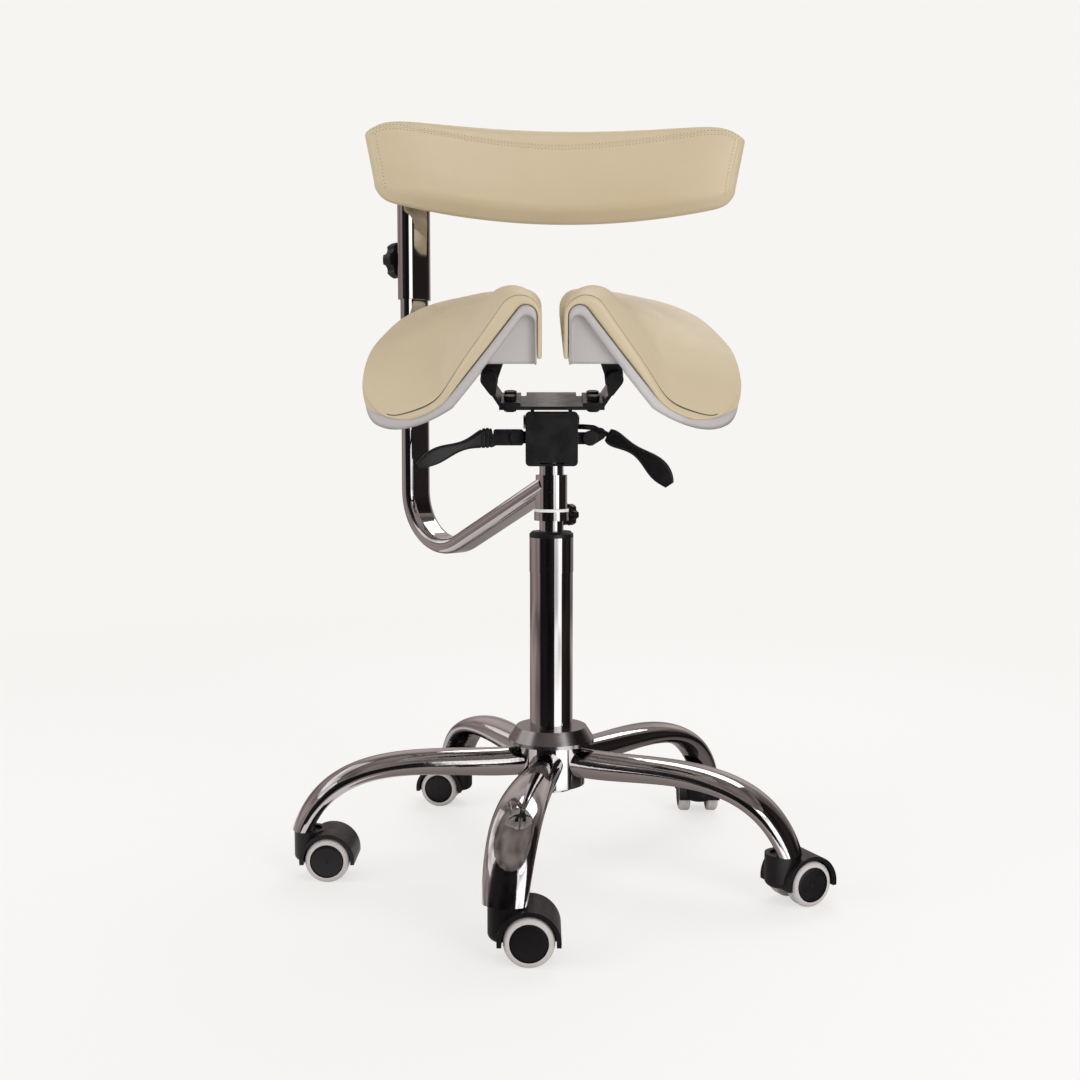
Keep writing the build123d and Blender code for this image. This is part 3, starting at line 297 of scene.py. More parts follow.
# Seat pads, placed as in the CAD source
SEAT_TILT, TILT_Z, SHELL_FLOOR = 13.0, 520.0, 607.0
HALF_GAP, SKIRT_RISE, SKIRT_WALL = 11.3, 6.0, 5.0
CREST_RADIUS, INNER_CREST_RADIUS, KNEE_RADIUS = 22.5, 11.0, 60.0
BORDER_HEIGHT, BORDER_INSET = 11.0, 3.0
EDGE_RADIUS, LIP_RADIUS, SKIRT_ROUND = 5.0, 4.0, 1.5
CORNER_START, CORNER_ACROSS, CORNER_LENGTH = 60.0, 154.5, 113.0
# Growth of the crest's round behind the front edge: its size and run, then where and over what run it ends
CREST_SWELL, SWELL_RISE, SWELL_END, SWELL_FALL = 10.0, 80.0, 60.0, 120.0
# Droop of the cover over the front outer corner, by the angle round it and the distance inward from its edge
DROOP_DEPTH, DROOP_START, DROOP_RISE, DROOP_END, DROOP_FALL = 9.0, 80.0, 21.0, 45.0, 43.0
DROOP_EDGE, DROOP_REACH = 2.0, 52.0
# Wrap of the border over the shell's rim there: down, out, distance inward, and the angles where it starts
WRAP_DEPTH, WRAP_OUT, WRAP_REACH, WRAP_START, WRAP_RISE = 5.0, 2.0, 9.0, 6.0, 34.0
# Stations: y, crest height, outer x and height, knee x and height, padding; heights from the shell's floor
SEAT_STATIONS = [
    (-123.0, 70.0, 152.0, -60.5, 118.0, -34.0, 8.5),
    (-114.0, 73.0, 168.0, -63.5, 119.0, -30.0, 11.0),
    (-90.0, 75.0, 192.0, -64.0, 120.0, -19.0, 16.0),
    (-45.0, 73.0, 210.0, -46.0, 120.0, 2.0, 16.0),
    (-10.0, 67.0, 213.5, -30.0, 120.0, 19.0, 16.0),
    (10.0, 61.0, 213.0, -21.0, 120.0, 27.0, 16.0),
    (70.0, 49.0, 202.0, -1.0, 118.0, 35.0, 16.0),
    (120.0, 44.0, 174.0, 19.0, 106.0, 37.0, 16.0),
    (165.0, 43.0, 130.0, 30.0, 84.0, 39.5, 16.0),
    (188.0, 41.0, 98.0, 32.0, 70.0, 37.5, 14.0),
    (197.0, 38.0, 80.0, 31.0, 62.0, 35.0, 12.0),
]
SEAT_FRONT, SEAT_BACK = SEAT_STATIONS[0][0], SEAT_STATIONS[-1][0]
# How a seat pad closes at front and back: distance from the edge, share of thickness, depth of the seam
PAD_END = [
    (0.0, 0.30, 0.0),
    (0.2, 0.48, 0.0),
    (0.7, 0.66, 0.0),
    (1.5, 0.80, 0.0),
    (2.6, 0.90, 0.0),
    (3.8, 0.95, 0.0),
    (4.5, 0.97, 0.25),
    (5.0, 0.98, 1.5),
    (5.5, 0.985, 0.25),
    (6.4, 0.99, 0.0),
    (8.0, 1.0, 0.0),
    (10.5, 1.0, 0.0),
]
# How squarely the edge faces forward: where a row starts to close, the span to a full close, a least share
CLOSE_NONE, CLOSE_SPAN, LEAST_FACING = 0.1, 0.5, 1 / 3
# Near the outer side the rows draw together: from an x, over a span, by a share
SIDE_X, SIDE_SPAN, SIDE_DRAW = 175.0, 37.0, 0.5
# The front seam runs out round the corner, and gets painted shade in its crease where more than a share of it is
# left
SEAM_END_X, SEAM_FADE, SEAM_SEEN, BORDER_SEAM_DEPTH = 166.0, 16.0, 0.2, 1.2
# Points on each round and each straight run of a seat pad's outline, and rows between its ends
PAD_ARC_STEPS = [4, 16, 14, 9, 6, 14, 16, 4]
PAD_LINE_STEPS = [8, 14, 24, 3, 36, 14, 8, 0]
PAD_ROWS = 54
# Points of that outline: end of the outer side, the border's seam, and the start of the loose top
OUTER_POINTS, BORDER_SEAM, TOP_START = 95, 91, 24
# Cloth step: frames, pressure, quality and passes of smoothing
SIM_FRAMES, SIM_PRESSURE, SIM_QUALITY, SIM_SMOOTHING = 20, 4.0, 6, 14
# Rows and points over which a pad comes loose from its seams, and how far it may swell
SEAT_LOOSE_ROWS, SEAT_LOOSE_POINTS, SEAT_SWELL = 9, 12, 2.2
# Steps in the search for the front edge
EDGE_HALVINGS = 40


def corner_arc(before, here, after, radius, steps):
    """Points of the round that replaces a corner."""
    before, here, after = (np.array(p, float) for p in (before, here, after))
    back, ahead = before - here, after - here
    back, ahead = back / np.linalg.norm(back), ahead / np.linalg.norm(ahead)
    half = math.acos(max(-1.0, min(1.0, float(back @ ahead)))) / 2
    reach = radius / math.tan(half)
    centre = here + (back + ahead) / np.linalg.norm(back + ahead) * radius / math.sin(half)
    first, last = here + back * reach - centre, here + ahead * reach - centre
    swing = math.pi - 2 * half
    t = np.linspace(0, 1, steps)[:, None]
    return centre + (np.sin((1 - t) * swing) * first + np.sin(t * swing) * last) / math.sin(swing)


def filleted(points, radii, arc_steps, line_steps):
    """Closed outline with rounded corners; every corner and straight run has its own number of points."""
    count = len(points)
    arcs = [
        corner_arc(points[i - 1], points[i], points[(i + 1) % count], radii[i], arc_steps[i])
        for i in range(count)
    ]
    outline = []
    for i, arc in enumerate(arcs):
        shares = np.arange(1, line_steps[i] + 1)[:, None] / (line_steps[i] + 1)
        outline += [arc, arc[-1] + shares * (arcs[(i + 1) % count][0] - arc[-1])]
    return np.concatenate(outline)


def along(places, outlines, wanted):
    """Smooth curves through outlines at given places; each point is read at its own place."""
    slopes = np.gradient(outlines, places, axis=0)
    k = np.clip(np.searchsorted(places, wanted) - 1, 0, len(places) - 2)
    point = np.arange(len(wanted))
    step = places[k + 1] - places[k]
    t = ((wanted - places[k]) / step)[:, None]
    first, last = outlines[k, point], outlines[k + 1, point]
    bend = slopes[k, point] * (t**3 - 2 * t**2 + t) + slopes[k + 1, point] * (t**3 - t**2)
    return first + (last - first) * (3 * t**2 - 2 * t**3) + bend * step[:, None]


def skin(name, rows, shaded_faces=None):
    """Closed mesh from rows of outline points; each end is closed by pairing points across its outline."""
    count, around = rows.shape[:2]
    faces, tones = [], []
    for v in range(count - 1):
        for u in range(around):
            n = (u + 1) % around
            faces.append((v * around + u, v * around + n, (v + 1) * around + n, (v + 1) * around + u))
            # Marked faces take the painted shade of a seam's crease
            tones.append(int(shaded_faces is not None and bool(shaded_faces[v, u])))
    last = (count - 1) * around
    for u in range(around // 2 - 1):
        across, beyond = around - 1 - u, around - 2 - u
        faces.append((u, across, beyond, u + 1))
        faces.append((last + u, last + u + 1, last + beyond, last + across))
    mesh = bpy.data.meshes.new(name)
    mesh.from_pydata(rows.reshape(-1, 3).tolist(), [], faces)
    mesh.materials.append(FINISH["beige_leatherette"])
    mesh.materials.append(PAINTED_SHADE)
    mesh.polygons.foreach_set("material_index", tones + [0] * (len(faces) - len(tones)))
    build = bmesh.new()
    build.from_mesh(mesh)
    bmesh.ops.recalc_face_normals(build, faces=build.faces)
    build.to_mesh(mesh)
    build.free()
    mesh.polygons.foreach_set("use_smooth", [True] * len(mesh.polygons))
    piece = bpy.data.objects.new(name, mesh)
    scene.collection.objects.link(piece)
    return piece


def tangent_corner(wall, top, radius, knee_x, knee_z):
    """Height where the slope through the knee, touching the crest's round, meets the inner wall."""
    cx, cz = wall + radius, top - radius
    touch = math.atan2(knee_z - cz, knee_x - cx) + math.acos(radius / math.hypot(knee_x - cx, knee_z - cz))
    tx, tz = cx + radius * math.cos(touch), cz + radius * math.sin(touch)
    return knee_z + (knee_x - wall) * (tz - knee_z) / (knee_x - tx)


def pad_outline(station):
    """Outline of a seat pad at one station: up the skirt, over the crest, down to the border, back under."""
    y, crest, out_x, out_z, knee_x, knee_z, padding = station
    swell = CREST_SWELL * ramp(y - SEAT_FRONT, SWELL_RISE) * (1 - ramp(y - SWELL_END, SWELL_FALL))
    crest_round = CREST_RADIUS + swell
    slope = math.atan2(out_z - crest, out_x - HALF_GAP)
    low_x, low_z = knee_x + padding * math.sin(slope), knee_z - padding * math.cos(slope)
    inner_wall, inner_crest = HALF_GAP + SKIRT_WALL, crest - padding
    points = [
        (HALF_GAP, SKIRT_RISE),
        (HALF_GAP, tangent_corner(HALF_GAP, crest, crest_round, knee_x, knee_z)),
        (knee_x, knee_z),
        (out_x, out_z),
        (out_x - BORDER_INSET, out_z - BORDER_HEIGHT),
        (low_x, low_z),
        (inner_wall, tangent_corner(inner_wall, inner_crest, INNER_CREST_RADIUS, low_x, low_z)),
        (inner_wall, SKIRT_RISE),
    ]
    top_radii = [SKIRT_ROUND, crest_round, KNEE_RADIUS, EDGE_RADIUS]
    under_radii = [LIP_RADIUS, KNEE_RADIUS, INNER_CREST_RADIUS, SKIRT_ROUND]
    return filleted(points, top_radii + under_radii, PAD_ARC_STEPS, PAD_LINE_STEPS) + (0.0, SHELL_FLOOR)


def tipped(points, side):
    """Level seat points, in millimetres, tipped forward to where the seat is held, in metres."""
    turn = math.radians(SEAT_TILT)
    x, y, z = points[..., 0] * side, points[..., 1], points[..., 2] - TILT_Z
    ahead, up = y * math.cos(turn) - z * math.sin(turn), y * math.sin(turn) + z * math.cos(turn)
    return MM * np.stack([x, ahead, TILT_Z + up], -1)


def ramp(distance, length):
    """0 up to the start of a distance, rising smoothly to 1 over a length."""
    t = np.clip(np.asarray(distance, float) / length, 0.0, 1.0)
    return t * t * (3 - 2 * t)


def corner_place(x, y):
    """Angle round the front outer corner, distance inward from its edge, and the way out, in plan."""
    across, ahead = (x - CORNER_START) / CORNER_ACROSS, (SEAT_FRONT + CORNER_LENGTH - y) / CORNER_LENGTH
    out = np.stack([across / CORNER_ACROSS, -ahead / CORNER_LENGTH], -1)
    out /= np.maximum(np.linalg.norm(out, axis=-1), TINY)[:, None]
    return np.degrees(np.arctan2(ahead, across)), (1 - np.hypot(across, ahead)) * CORNER_ACROSS, out


def droop(angle, inward, reach):
    """Share by which the cover is drawn down over the front outer corner."""
    round_corner = ramp(DROOP_START - angle, DROOP_RISE) * (1 - ramp(DROOP_END - angle, DROOP_FALL))
    return round_corner * (1 - ramp(inward - DROOP_EDGE, reach))


def front_edge(x):
    """Plan of the seat's front edge: straight, then a quarter of an ellipse round the outer corner."""
    past = np.clip((x - CORNER_START) / CORNER_ACROSS, 0.0, 1.0)
    return SEAT_FRONT + CORNER_LENGTH * (1 - np.sqrt(1 - past**2))


def edge_start(places, outlines):
    """Where each point of the outline meets the front edge, and how squarely that faces forward."""
    low = np.full(outlines.shape[1], SEAT_FRONT)
    high = low + CORNER_LENGTH
    for _ in range(EDGE_HALVINGS):
        middle = (low + high) / 2
        inside = middle > front_edge(along(places, outlines, middle)[:, 0])
        low, high = np.where(inside, low, middle), np.where(inside, middle, high)
    x = np.maximum(along(places, outlines, low)[:, 0] - CORNER_START, 0.0)
    side, ahead = x / CORNER_ACROSS**2, (SEAT_FRONT + CORNER_LENGTH - low) / CORNER_LENGTH**2
    return low, ahead / np.hypot(side, ahead)


def pad_rows(start, square, edge_x):
    """Every row of the seat pad: where each point lies, share of the thickness, depth of the seam."""
    weight = np.clip((square - CLOSE_NONE) / CLOSE_SPAN, 0.0, 1.0)
    stretch = (1 - SIDE_DRAW * ramp(edge_x - SIDE_X, SIDE_SPAN)) / np.maximum(square, LEAST_FACING)
    rows = [(start + d * stretch, 1 - (1 - share) * weight, seam) for d, share, seam in PAD_END]
    reach = PAD_END[-1][0]
    first, last = start + reach * stretch, np.full(len(start), SEAT_BACK - reach)
    for t in np.linspace(0, 1, PAD_ROWS + 2)[1:-1]:
        rows.append((first + (last - first) * t, np.ones(len(start)), 0.0))
    for d, share, seam in reversed(PAD_END):
        rows.append((np.full(len(start), SEAT_BACK - d), np.full(len(start), share), seam))
    return rows


def sewn_rows(plan):
    """Numbers of the rows that lie in a seam, whose depth is the last value of a row."""
    return [number for number, row in enumerate(plan) if row[-1] > SEAM_LEAST]


def within(count, first, last):
    """How far each of a count of places lies within a first and a last one."""
    places = np.arange(count)
    return np.minimum(places - first, last - places)


def puff(piece, loose, cap):
    """Cloth under pressure swells the loose points of a pad by at most cap; the rest stays sewn down."""
    mesh = piece.data
    rest = np.empty(len(mesh.vertices) * 3)
    mesh.vertices.foreach_get("co", rest)
    rest = rest.reshape(-1, 3)
    group = piece.vertex_groups.new(name="sewn")
    for index, share in enumerate(loose.ravel()):
        group.add([index], 1.0 - float(share), "REPLACE")
    cloth = piece.modifiers.new("cloth", "CLOTH")
    cloth.settings.vertex_group_mass = "sewn"
    cloth.settings.use_pressure = True
    cloth.settings.uniform_pressure_force = SIM_PRESSURE
    cloth.settings.effector_weights.gravity = 0.0
    cloth.settings.quality = SIM_QUALITY
    for number in range(1, SIM_FRAMES + 1):
        scene.frame_set(number)
    shaped = piece.evaluated_get(bpy.context.evaluated_depsgraph_get()).to_mesh()
    moved = np.empty(len(shaped.vertices) * 3)
    shaped.vertices.foreach_get("co", moved)
    step = (moved.reshape(-1, 3) - rest).reshape(*loose.shape, 3)
    for _ in range(SIM_SMOOTHING):
        ends = np.pad(step, ((1, 1), (0, 0), (0, 0)), "edge")
        step = (2 * step + np.roll(step, 1, 1) + np.roll(step, -1, 1) + ends[:-2] + ends[2:]) / 6
    piece.modifiers.remove(cloth)
    piece.vertex_groups.remove(group)
    scene.frame_set(1)
    length = np.linalg.norm(step, axis=2)
    step *= (cap * np.tanh(length / cap) / np.maximum(length, TINY) * loose)[..., None]
    mesh.vertices.foreach_set("co", rest.ravel() + step.ravel())
    mesh.update()


def seat_pad(name, side):
    """One upholstered seat half; side is -1 on the left and 1 on the right."""
    places = np.array([s[0] for s in SEAT_STATIONS])
    outlines = np.array([pad_outline(s) for s in SEAT_STATIONS])
    start, square = edge_start(places, outlines)
    edge_x = along(places, outlines, start)[:, 0]
    plan = pad_rows(start, square, edge_x)
    count, around = len(plan), len(start)
    sewn = sewn_rows(plan)
    sewn_share = (1 - ramp(edge_x - SEAM_END_X, SEAM_FADE)) * (np.arange(around) <= BORDER_SEAM)
    rows = []
    for v, (y, share, seam) in enumerate(plan):
        section = along(places, outlines, y)
        ring = np.column_stack([section[:, 0], y, section[:, 1]])
        angle, inset, out = corner_place(section[:, 0], y)
        wrap = droop(angle, inset, WRAP_REACH) * ramp(angle - WRAP_START, WRAP_RISE)
        ring[:OUTER_POINTS, 2] -= DROOP_DEPTH * droop(angle, inset, DROOP_REACH)[:OUTER_POINTS]
        ring[:, 2] -= WRAP_DEPTH * wrap
        ring[:, :2] += WRAP_OUT * wrap[:, None] * out
        across = ring[::-1] - ring
        inward = across / np.linalg.norm(across, axis=1)[:, None]
        ring = ring + across * ((1 - share) / 2)[:, None]
        ring += inward * (seam * sewn_share)[:, None]
        if sewn[0] <= v <= sewn[-1]:
            ring[BORDER_SEAM] += inward[BORDER_SEAM] * BORDER_SEAM_DEPTH
        rows.append(ring)
    rows = np.array(rows)
    # Painted shade on the two rows at the front seam's crease, where enough of the seam is left
    seam_shade = np.zeros((count, around), bool)
    seam_shade[[sewn[0] - 1, sewn[0]]] = sewn_share > SEAM_SEEN
    piece = skin(name, tipped(rows, side), seam_shade)
    ends = ramp(within(count, sewn[0], sewn[-1]), SEAT_LOOSE_ROWS)
    sides = ramp(within(around, TOP_START, BORDER_SEAM), SEAT_LOOSE_POINTS)
    puff(piece, np.outer(ends, sides), SEAT_SWELL * MM)
    return piece


# Backrest pad: arc, depth, slant of its ends, roll to one side, middle and half height
BACK_FRONT_RADIUS, BACK_CENTRE_Y, BACK_MIDDLE_X = 400.0, -257.05, 5.0
BACK_DEPTH, BACK_HALF_ANGLE, BACK_SLANT, BACK_ROLL = 42.0, 30.7, 12.0, 1.0
BACK_MIDDLE, BACK_HALF_HEIGHT = 825.05, 56.0
# Towards the ends: rise of the lower edge, rounding of the lower and upper corners, loss of depth
BACK_BOW, LOW_CORNER, TOP_CORNER, BACK_THINNING = 17.0, 15.0, 15.5, 0.66
# Drop of the top seam below the upper edge in the middle, and its loss at the ends
TOP_DROP, TOP_DROP_LOSS, TOP_SEAM_DEPTH = 21.5, 18.5, 1.1
# Outline across: set-back of the front at the top, the seam and the low end, its crown, and lift of the rear
TOP_BACK, SEAM_BACK, LOW_BACK, CROWN_OUT, REAR_LIFT = 2.5, 2.0, 4.0, 1.5, 2.0
# Shares of the height at the crown and the low end, and of the depth at the lower edge
CROWN_SHARE, LOW_SHARE, UNDER_SHARE = 0.45, 0.14, 0.45
# Rounds of that outline; those at the top seam are also held to a share of its drop
REAR_LOW_ROUND, REAR_TOP_ROUND, LOW_ROUND, UNDER_ROUND = 4.0, 9.0, 22.0, 12.0
TOP_ROLL, TOP_ROLL_SHARE, CROWN_ROUND, SEAM_ROUND_SHARE = 13.0, 0.55, 120.0, 9.0
BACK_ARC_STEPS = [5, 8, 8, 9, 9, 9, 7]
BACK_LINE_STEPS = [39, 4, 0, 6, 4, 0, 0]
# How the backrest's end closes: distance from the end, shares of depth and height, depth of the seam
BACK_END = [
    (0.0, 0.5, 0.97, 0.0),
    (0.3, 0.68, 0.983, 0.0),
    (0.9, 0.84, 0.993, 0.0),
    (1.8, 0.94, 1.0, 0.0),
    (2.6, 0.97, 1.0, 0.2),
    (3.1, 0.98, 1.0, 1.2),
    (3.6, 0.985, 1.0, 0.2),
    (4.6, 1.0, 1.0, 0.0),
    (6.5, 1.0, 1.0, 0.0),
]
BACK_ROWS = 96
# Points of the outline: end of the rear, start of the loose top, the top seam, end of the loose front
REAR_POINTS, TOP_START_BACK, TOP_SEAM, LOW_FRONT = 54, 47, 68, 100
BACK_LOOSE_ROWS, BACK_LOOSE_POINTS, BACK_SWELL = 14, 9, 2.5


def back_edges(s):
    """Lower edge, upper edge, share of the depth and drop of the top seam, at a share of the half angle."""
    # A higher power keeps a change closer to the end
    bottom = BACK_MIDDLE - BACK_HALF_HEIGHT + BACK_BOW * s**2 + LOW_CORNER * s**40
    top = BACK_MIDDLE + BACK_HALF_HEIGHT - TOP_CORNER * s**18
    return bottom, top, 1 - BACK_THINNING * s**7, TOP_DROP - TOP_DROP_LOSS * s**1.5


def back_outline(s):
    """Outline across the backrest pad: up the flat back, over the top roll, down the crowned front."""
    bottom, top, share, drop = back_edges(s)
    rear, height, depth = BACK_FRONT_RADIUS + BACK_DEPTH, top - bottom, BACK_DEPTH * share
    front = rear - depth
    points = [
        (rear, bottom + REAR_LIFT),
        (rear, top),
        (front + TOP_BACK * share, top),
        (front + SEAM_BACK * share, top - drop),
        (front - CROWN_OUT * share, bottom + height * CROWN_SHARE),
        (front + LOW_BACK * share, bottom + height * LOW_SHARE),
        (rear - depth * UNDER_SHARE, bottom),
    ]
    roll, seam_round = min(TOP_ROLL, drop * TOP_ROLL_SHARE), min(CROWN_ROUND, drop * SEAM_ROUND_SHARE)
    rear_radii = [REAR_LOW_ROUND * share, REAR_TOP_ROUND * share]
    front_radii = [roll, seam_round, CROWN_ROUND, LOW_ROUND * share, UNDER_ROUND * share]
    return filleted(points, rear_radii + front_radii, BACK_ARC_STEPS, BACK_LINE_STEPS)


def back_rows():
    """Every row of the backrest pad: shares of half angle, depth and height, and depth of the seam."""
    half_length = math.radians(BACK_HALF_ANGLE) * (BACK_FRONT_RADIUS + BACK_DEPTH / 2)
    first = [(d / half_length - 1, depth, height, seam) for d, depth, height, seam in BACK_END]
    # Between the ends the rows stand closer together towards either end
    steps = np.linspace(-1, 1, BACK_ROWS + 2)[1:-1]
    middle = [(-first[-1][0] * t * (1.5 - 0.5 * t * t), 1.0, 1.0, 0.0) for t in steps]
    return first + middle + [(-share, depth, height, seam) for share, depth, height, seam in reversed(first)]


def back_pad(name):
    """The upholstered backrest, bent round its arc."""
    plan = back_rows()
    rows = []
    for share, depth, height, seam in plan:
        outline = back_outline(abs(share))
        across = outline[::-1] - outline
        inward = across / np.linalg.norm(across, axis=1)[:, None]
        ring = outline + across * (1 - depth) / 2
        ring[:, 1] = BACK_MIDDLE + (ring[:, 1] - BACK_MIDDLE) * height
        ring[REAR_POINTS:] += inward[REAR_POINTS:] * seam
        ring[TOP_SEAM, 0] += TOP_SEAM_DEPTH * back_edges(abs(share))[2]
        turn, lean = math.radians(BACK_HALF_ANGLE * share), math.radians(BACK_SLANT * share)
        rise = ring[:, 1] - BACK_MIDDLE
        x = BACK_MIDDLE_X + ring[:, 0] * math.sin(turn) + rise * math.sin(lean) * math.cos(turn)
        y = BACK_CENTRE_Y + ring[:, 0] * math.cos(turn) - rise * math.sin(lean) * math.sin(turn)
        z = BACK_MIDDLE + rise * math.cos(lean) - (x - BACK_MIDDLE_X) * math.tan(math.radians(BACK_ROLL))
        rows.append(MM * np.column_stack([x, y, z]))
    rows = np.array(rows)
    piece = skin(name, rows)
    count, around = rows.shape[:2]
    sewn = sewn_rows(plan)
    ends = ramp(within(count, sewn[0], sewn[-1]), BACK_LOOSE_ROWS)
    from_seam = np.abs(np.arange(around) - TOP_SEAM)
    sides = np.minimum(from_seam, within(around, TOP_START_BACK, LOW_FRONT))
    puff(piece, np.outer(ends, ramp(sides, BACK_LOOSE_POINTS)), BACK_SWELL * MM)
    return piece


# Stitches, in metres: distance from one to the next, and of a row from its seam
STITCH_PITCH, STITCH_APART = 4.2 * MM, 2.4 * MM
# Half length and radius of a stitch and of the needle hole between two stitches, which is drawn in painted shade
STITCH_SIZES = [(1.5 * MM, 0.45 * MM), (0.42 * MM, 0.34 * MM)]
# Rings of a stitch, as shares of its half length and radius, and points on each
STITCH_RINGS, STITCH_SIDES = [(-1, 0.35), (-0.7, 1), (0.7, 1), (1, 0.35)], 6
# Point of the outline where the stitches beside an end's seam begin
END_STITCH_START = TOP_SEAM + 3


def capsule(centre, along_line, out, half, radius):
    """Points of a short rounded bar that lies on a surface."""
    side = np.cross(out, along_line)
    turns = np.linspace(0, 2 * math.pi, STITCH_SIDES, endpoint=False)
    rim = np.cos(turns)[:, None] * side + np.sin(turns)[:, None] * out
    return [centre + along_line * half * t + rim * radius * wide for t, wide in STITCH_RINGS]


def stitches(name, pad, lines, body):
    """Thread on a pad: stitches along lines of points, each with a needle hole behind it in painted shade."""
    surface = BVHTree.FromObject(pad, bpy.context.evaluated_depsgraph_get())
    points, faces, tones = [], [], []
    last = STITCH_SIDES * (len(STITCH_RINGS) - 1)
    for line in lines:
        far = np.concatenate([[0.0], np.cumsum(np.linalg.norm(np.diff(line, axis=0), axis=1))])
        for number in range(2 * int(far[-1] / STITCH_PITCH)):
            # Every second mark is a needle hole, which takes the painted shade
            tone = number % 2
            here = (number / 2 + 0.5) * STITCH_PITCH
            near = [
                np.array([np.interp(here + e, far, line[:, i]) for i in range(3)])
                for e in (-MM, 0.0, MM)
            ]
            place, out, _, _ = surface.find_nearest(Vector(near[1]))
            place, out, run = np.array(place), np.array(out), near[2] - near[0]
            run = run - out * (run @ out)
            rings = capsule(place, run / np.linalg.norm(run), out, *STITCH_SIZES[tone])
            base = len(points)
            points += [tuple(p) for ring in rings for p in ring]
            for low in range(base, base + last, STITCH_SIDES):
                high = low + STITCH_SIDES
                for u in range(STITCH_SIDES):
                    n = (u + 1) % STITCH_SIDES
                    faces.append((low + u, low + n, high + n, high + u))
            faces.append(tuple(base + u for u in reversed(range(STITCH_SIDES))))
            faces.append(tuple(base + last + u for u in range(STITCH_SIDES)))
            tones += [tone] * (len(faces) - len(tones))
    mesh = bpy.data.meshes.new(name)
    mesh.from_pydata(points, [], faces)
    mesh.materials.append(THREAD)
    mesh.materials.append(PAINTED_SHADE)
    mesh.polygons.foreach_set("material_index", tones)
    mesh.polygons.foreach_set("use_smooth", [True] * len(faces))
    piece = bpy.data.objects.new(name, mesh)
    scene.collection.objects.link(piece)
    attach(piece, body)


def back_stitches(pad):
    """A row of stitches on each side of the top seam, and one beside each end's seam."""
    plan = back_rows()
    grid = np.array([v.co for v in pad.data.vertices]).reshape(len(plan), -1, 3)
    sewn = sewn_rows(plan)
    top = grid[sewn[0] : sewn[1] + 1, TOP_SEAM]
    lines = [top + (0, 0, STITCH_APART), top - (0, 0, STITCH_APART)]
    lines += [grid[v, END_STITCH_START:LOW_FRONT] for v in (len(BACK_END) - 1, len(plan) - len(BACK_END))]
    stitches("backrest_stitches", pad, lines, "backrest")


def finish_pad(piece, node, body):
    """A sewn pad stands for its CAD solid."""
    smooth = piece.modifiers.new("smooth", "SUBSURF")
    smooth.levels = smooth.render_levels = 1
    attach(piece, body)
    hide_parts(node)


def make_pads():
    """Both seat halves and the backrest, with its stitches."""
    for side, sign in (("left", -1), ("right", 1)):
        pad = seat_pad(f"seat_pad_{side}", sign)
        finish_pad(pad, f"seat_cushion_{side}", f"seat_{side}")
    pad = back_pad("backrest_pad")
    finish_pad(pad, "backrest_cushion", "backrest")
    back_stitches(pad)


# World, floor, lamps, cards and camera


def light_paths(tree):
    """1 for what the camera, mirrors and glass see, 0 for what lights the object."""
    paths = tree.nodes.new("ShaderNodeLightPath")
    total = paths.outputs["Is Camera Ray"]
    for name in ("Is Glossy Ray", "Is Transmission Ray"):
        node = tree.nodes.new("ShaderNodeMath")
        node.operation = "MAXIMUM"
        tree.links.new(total, node.inputs[0])
        tree.links.new(paths.outputs[name], node.inputs[1])
        total = node.outputs["Value"]
    return total


def make_world():
    """White where it is seen, and an even light on the object."""
    world = bpy.data.worlds.new("studio")
    scene.world = world
    world.use_nodes = True
    tree = world.node_tree
    tree.nodes.clear()
    seen = tree.nodes.new("ShaderNodeBackground")
    seen.inputs["Color"].default_value = (*WHITE, 1.0)
    lit = tree.nodes.new("ShaderNodeBackground")
    lit.inputs["Color"].default_value = (*WORLD_COLOR, 1.0)
    lit.inputs["Strength"].default_value = WORLD_LEVEL
    mix = tree.nodes.new("ShaderNodeMixShader")
    out = tree.nodes.new("ShaderNodeOutputWorld")
    tree.links.new(light_paths(tree), mix.inputs["Fac"])
    tree.links.new(lit.outputs[0], mix.inputs[1])
    tree.links.new(seen.outputs[0], mix.inputs[2])
    tree.links.new(mix.outputs[0], out.inputs["Surface"])


def distance_fade(tree, place, start, end):
    """0 up to a distance from the origin, rising smoothly to 1 at another."""
    length = tree.nodes.new("ShaderNodeVectorMath")
    length.operation = "LENGTH"
    tree.links.new(place, length.inputs[0])
    fade = tree.nodes.new("ShaderNodeMapRange")
    fade.interpolation_type = "SMOOTHSTEP"
    fade.inputs["From Min"].default_value = start
    fade.inputs["From Max"].default_value = end
    tree.links.new(length.outputs["Value"], fade.inputs["Value"])
    return fade.outputs["Result"]


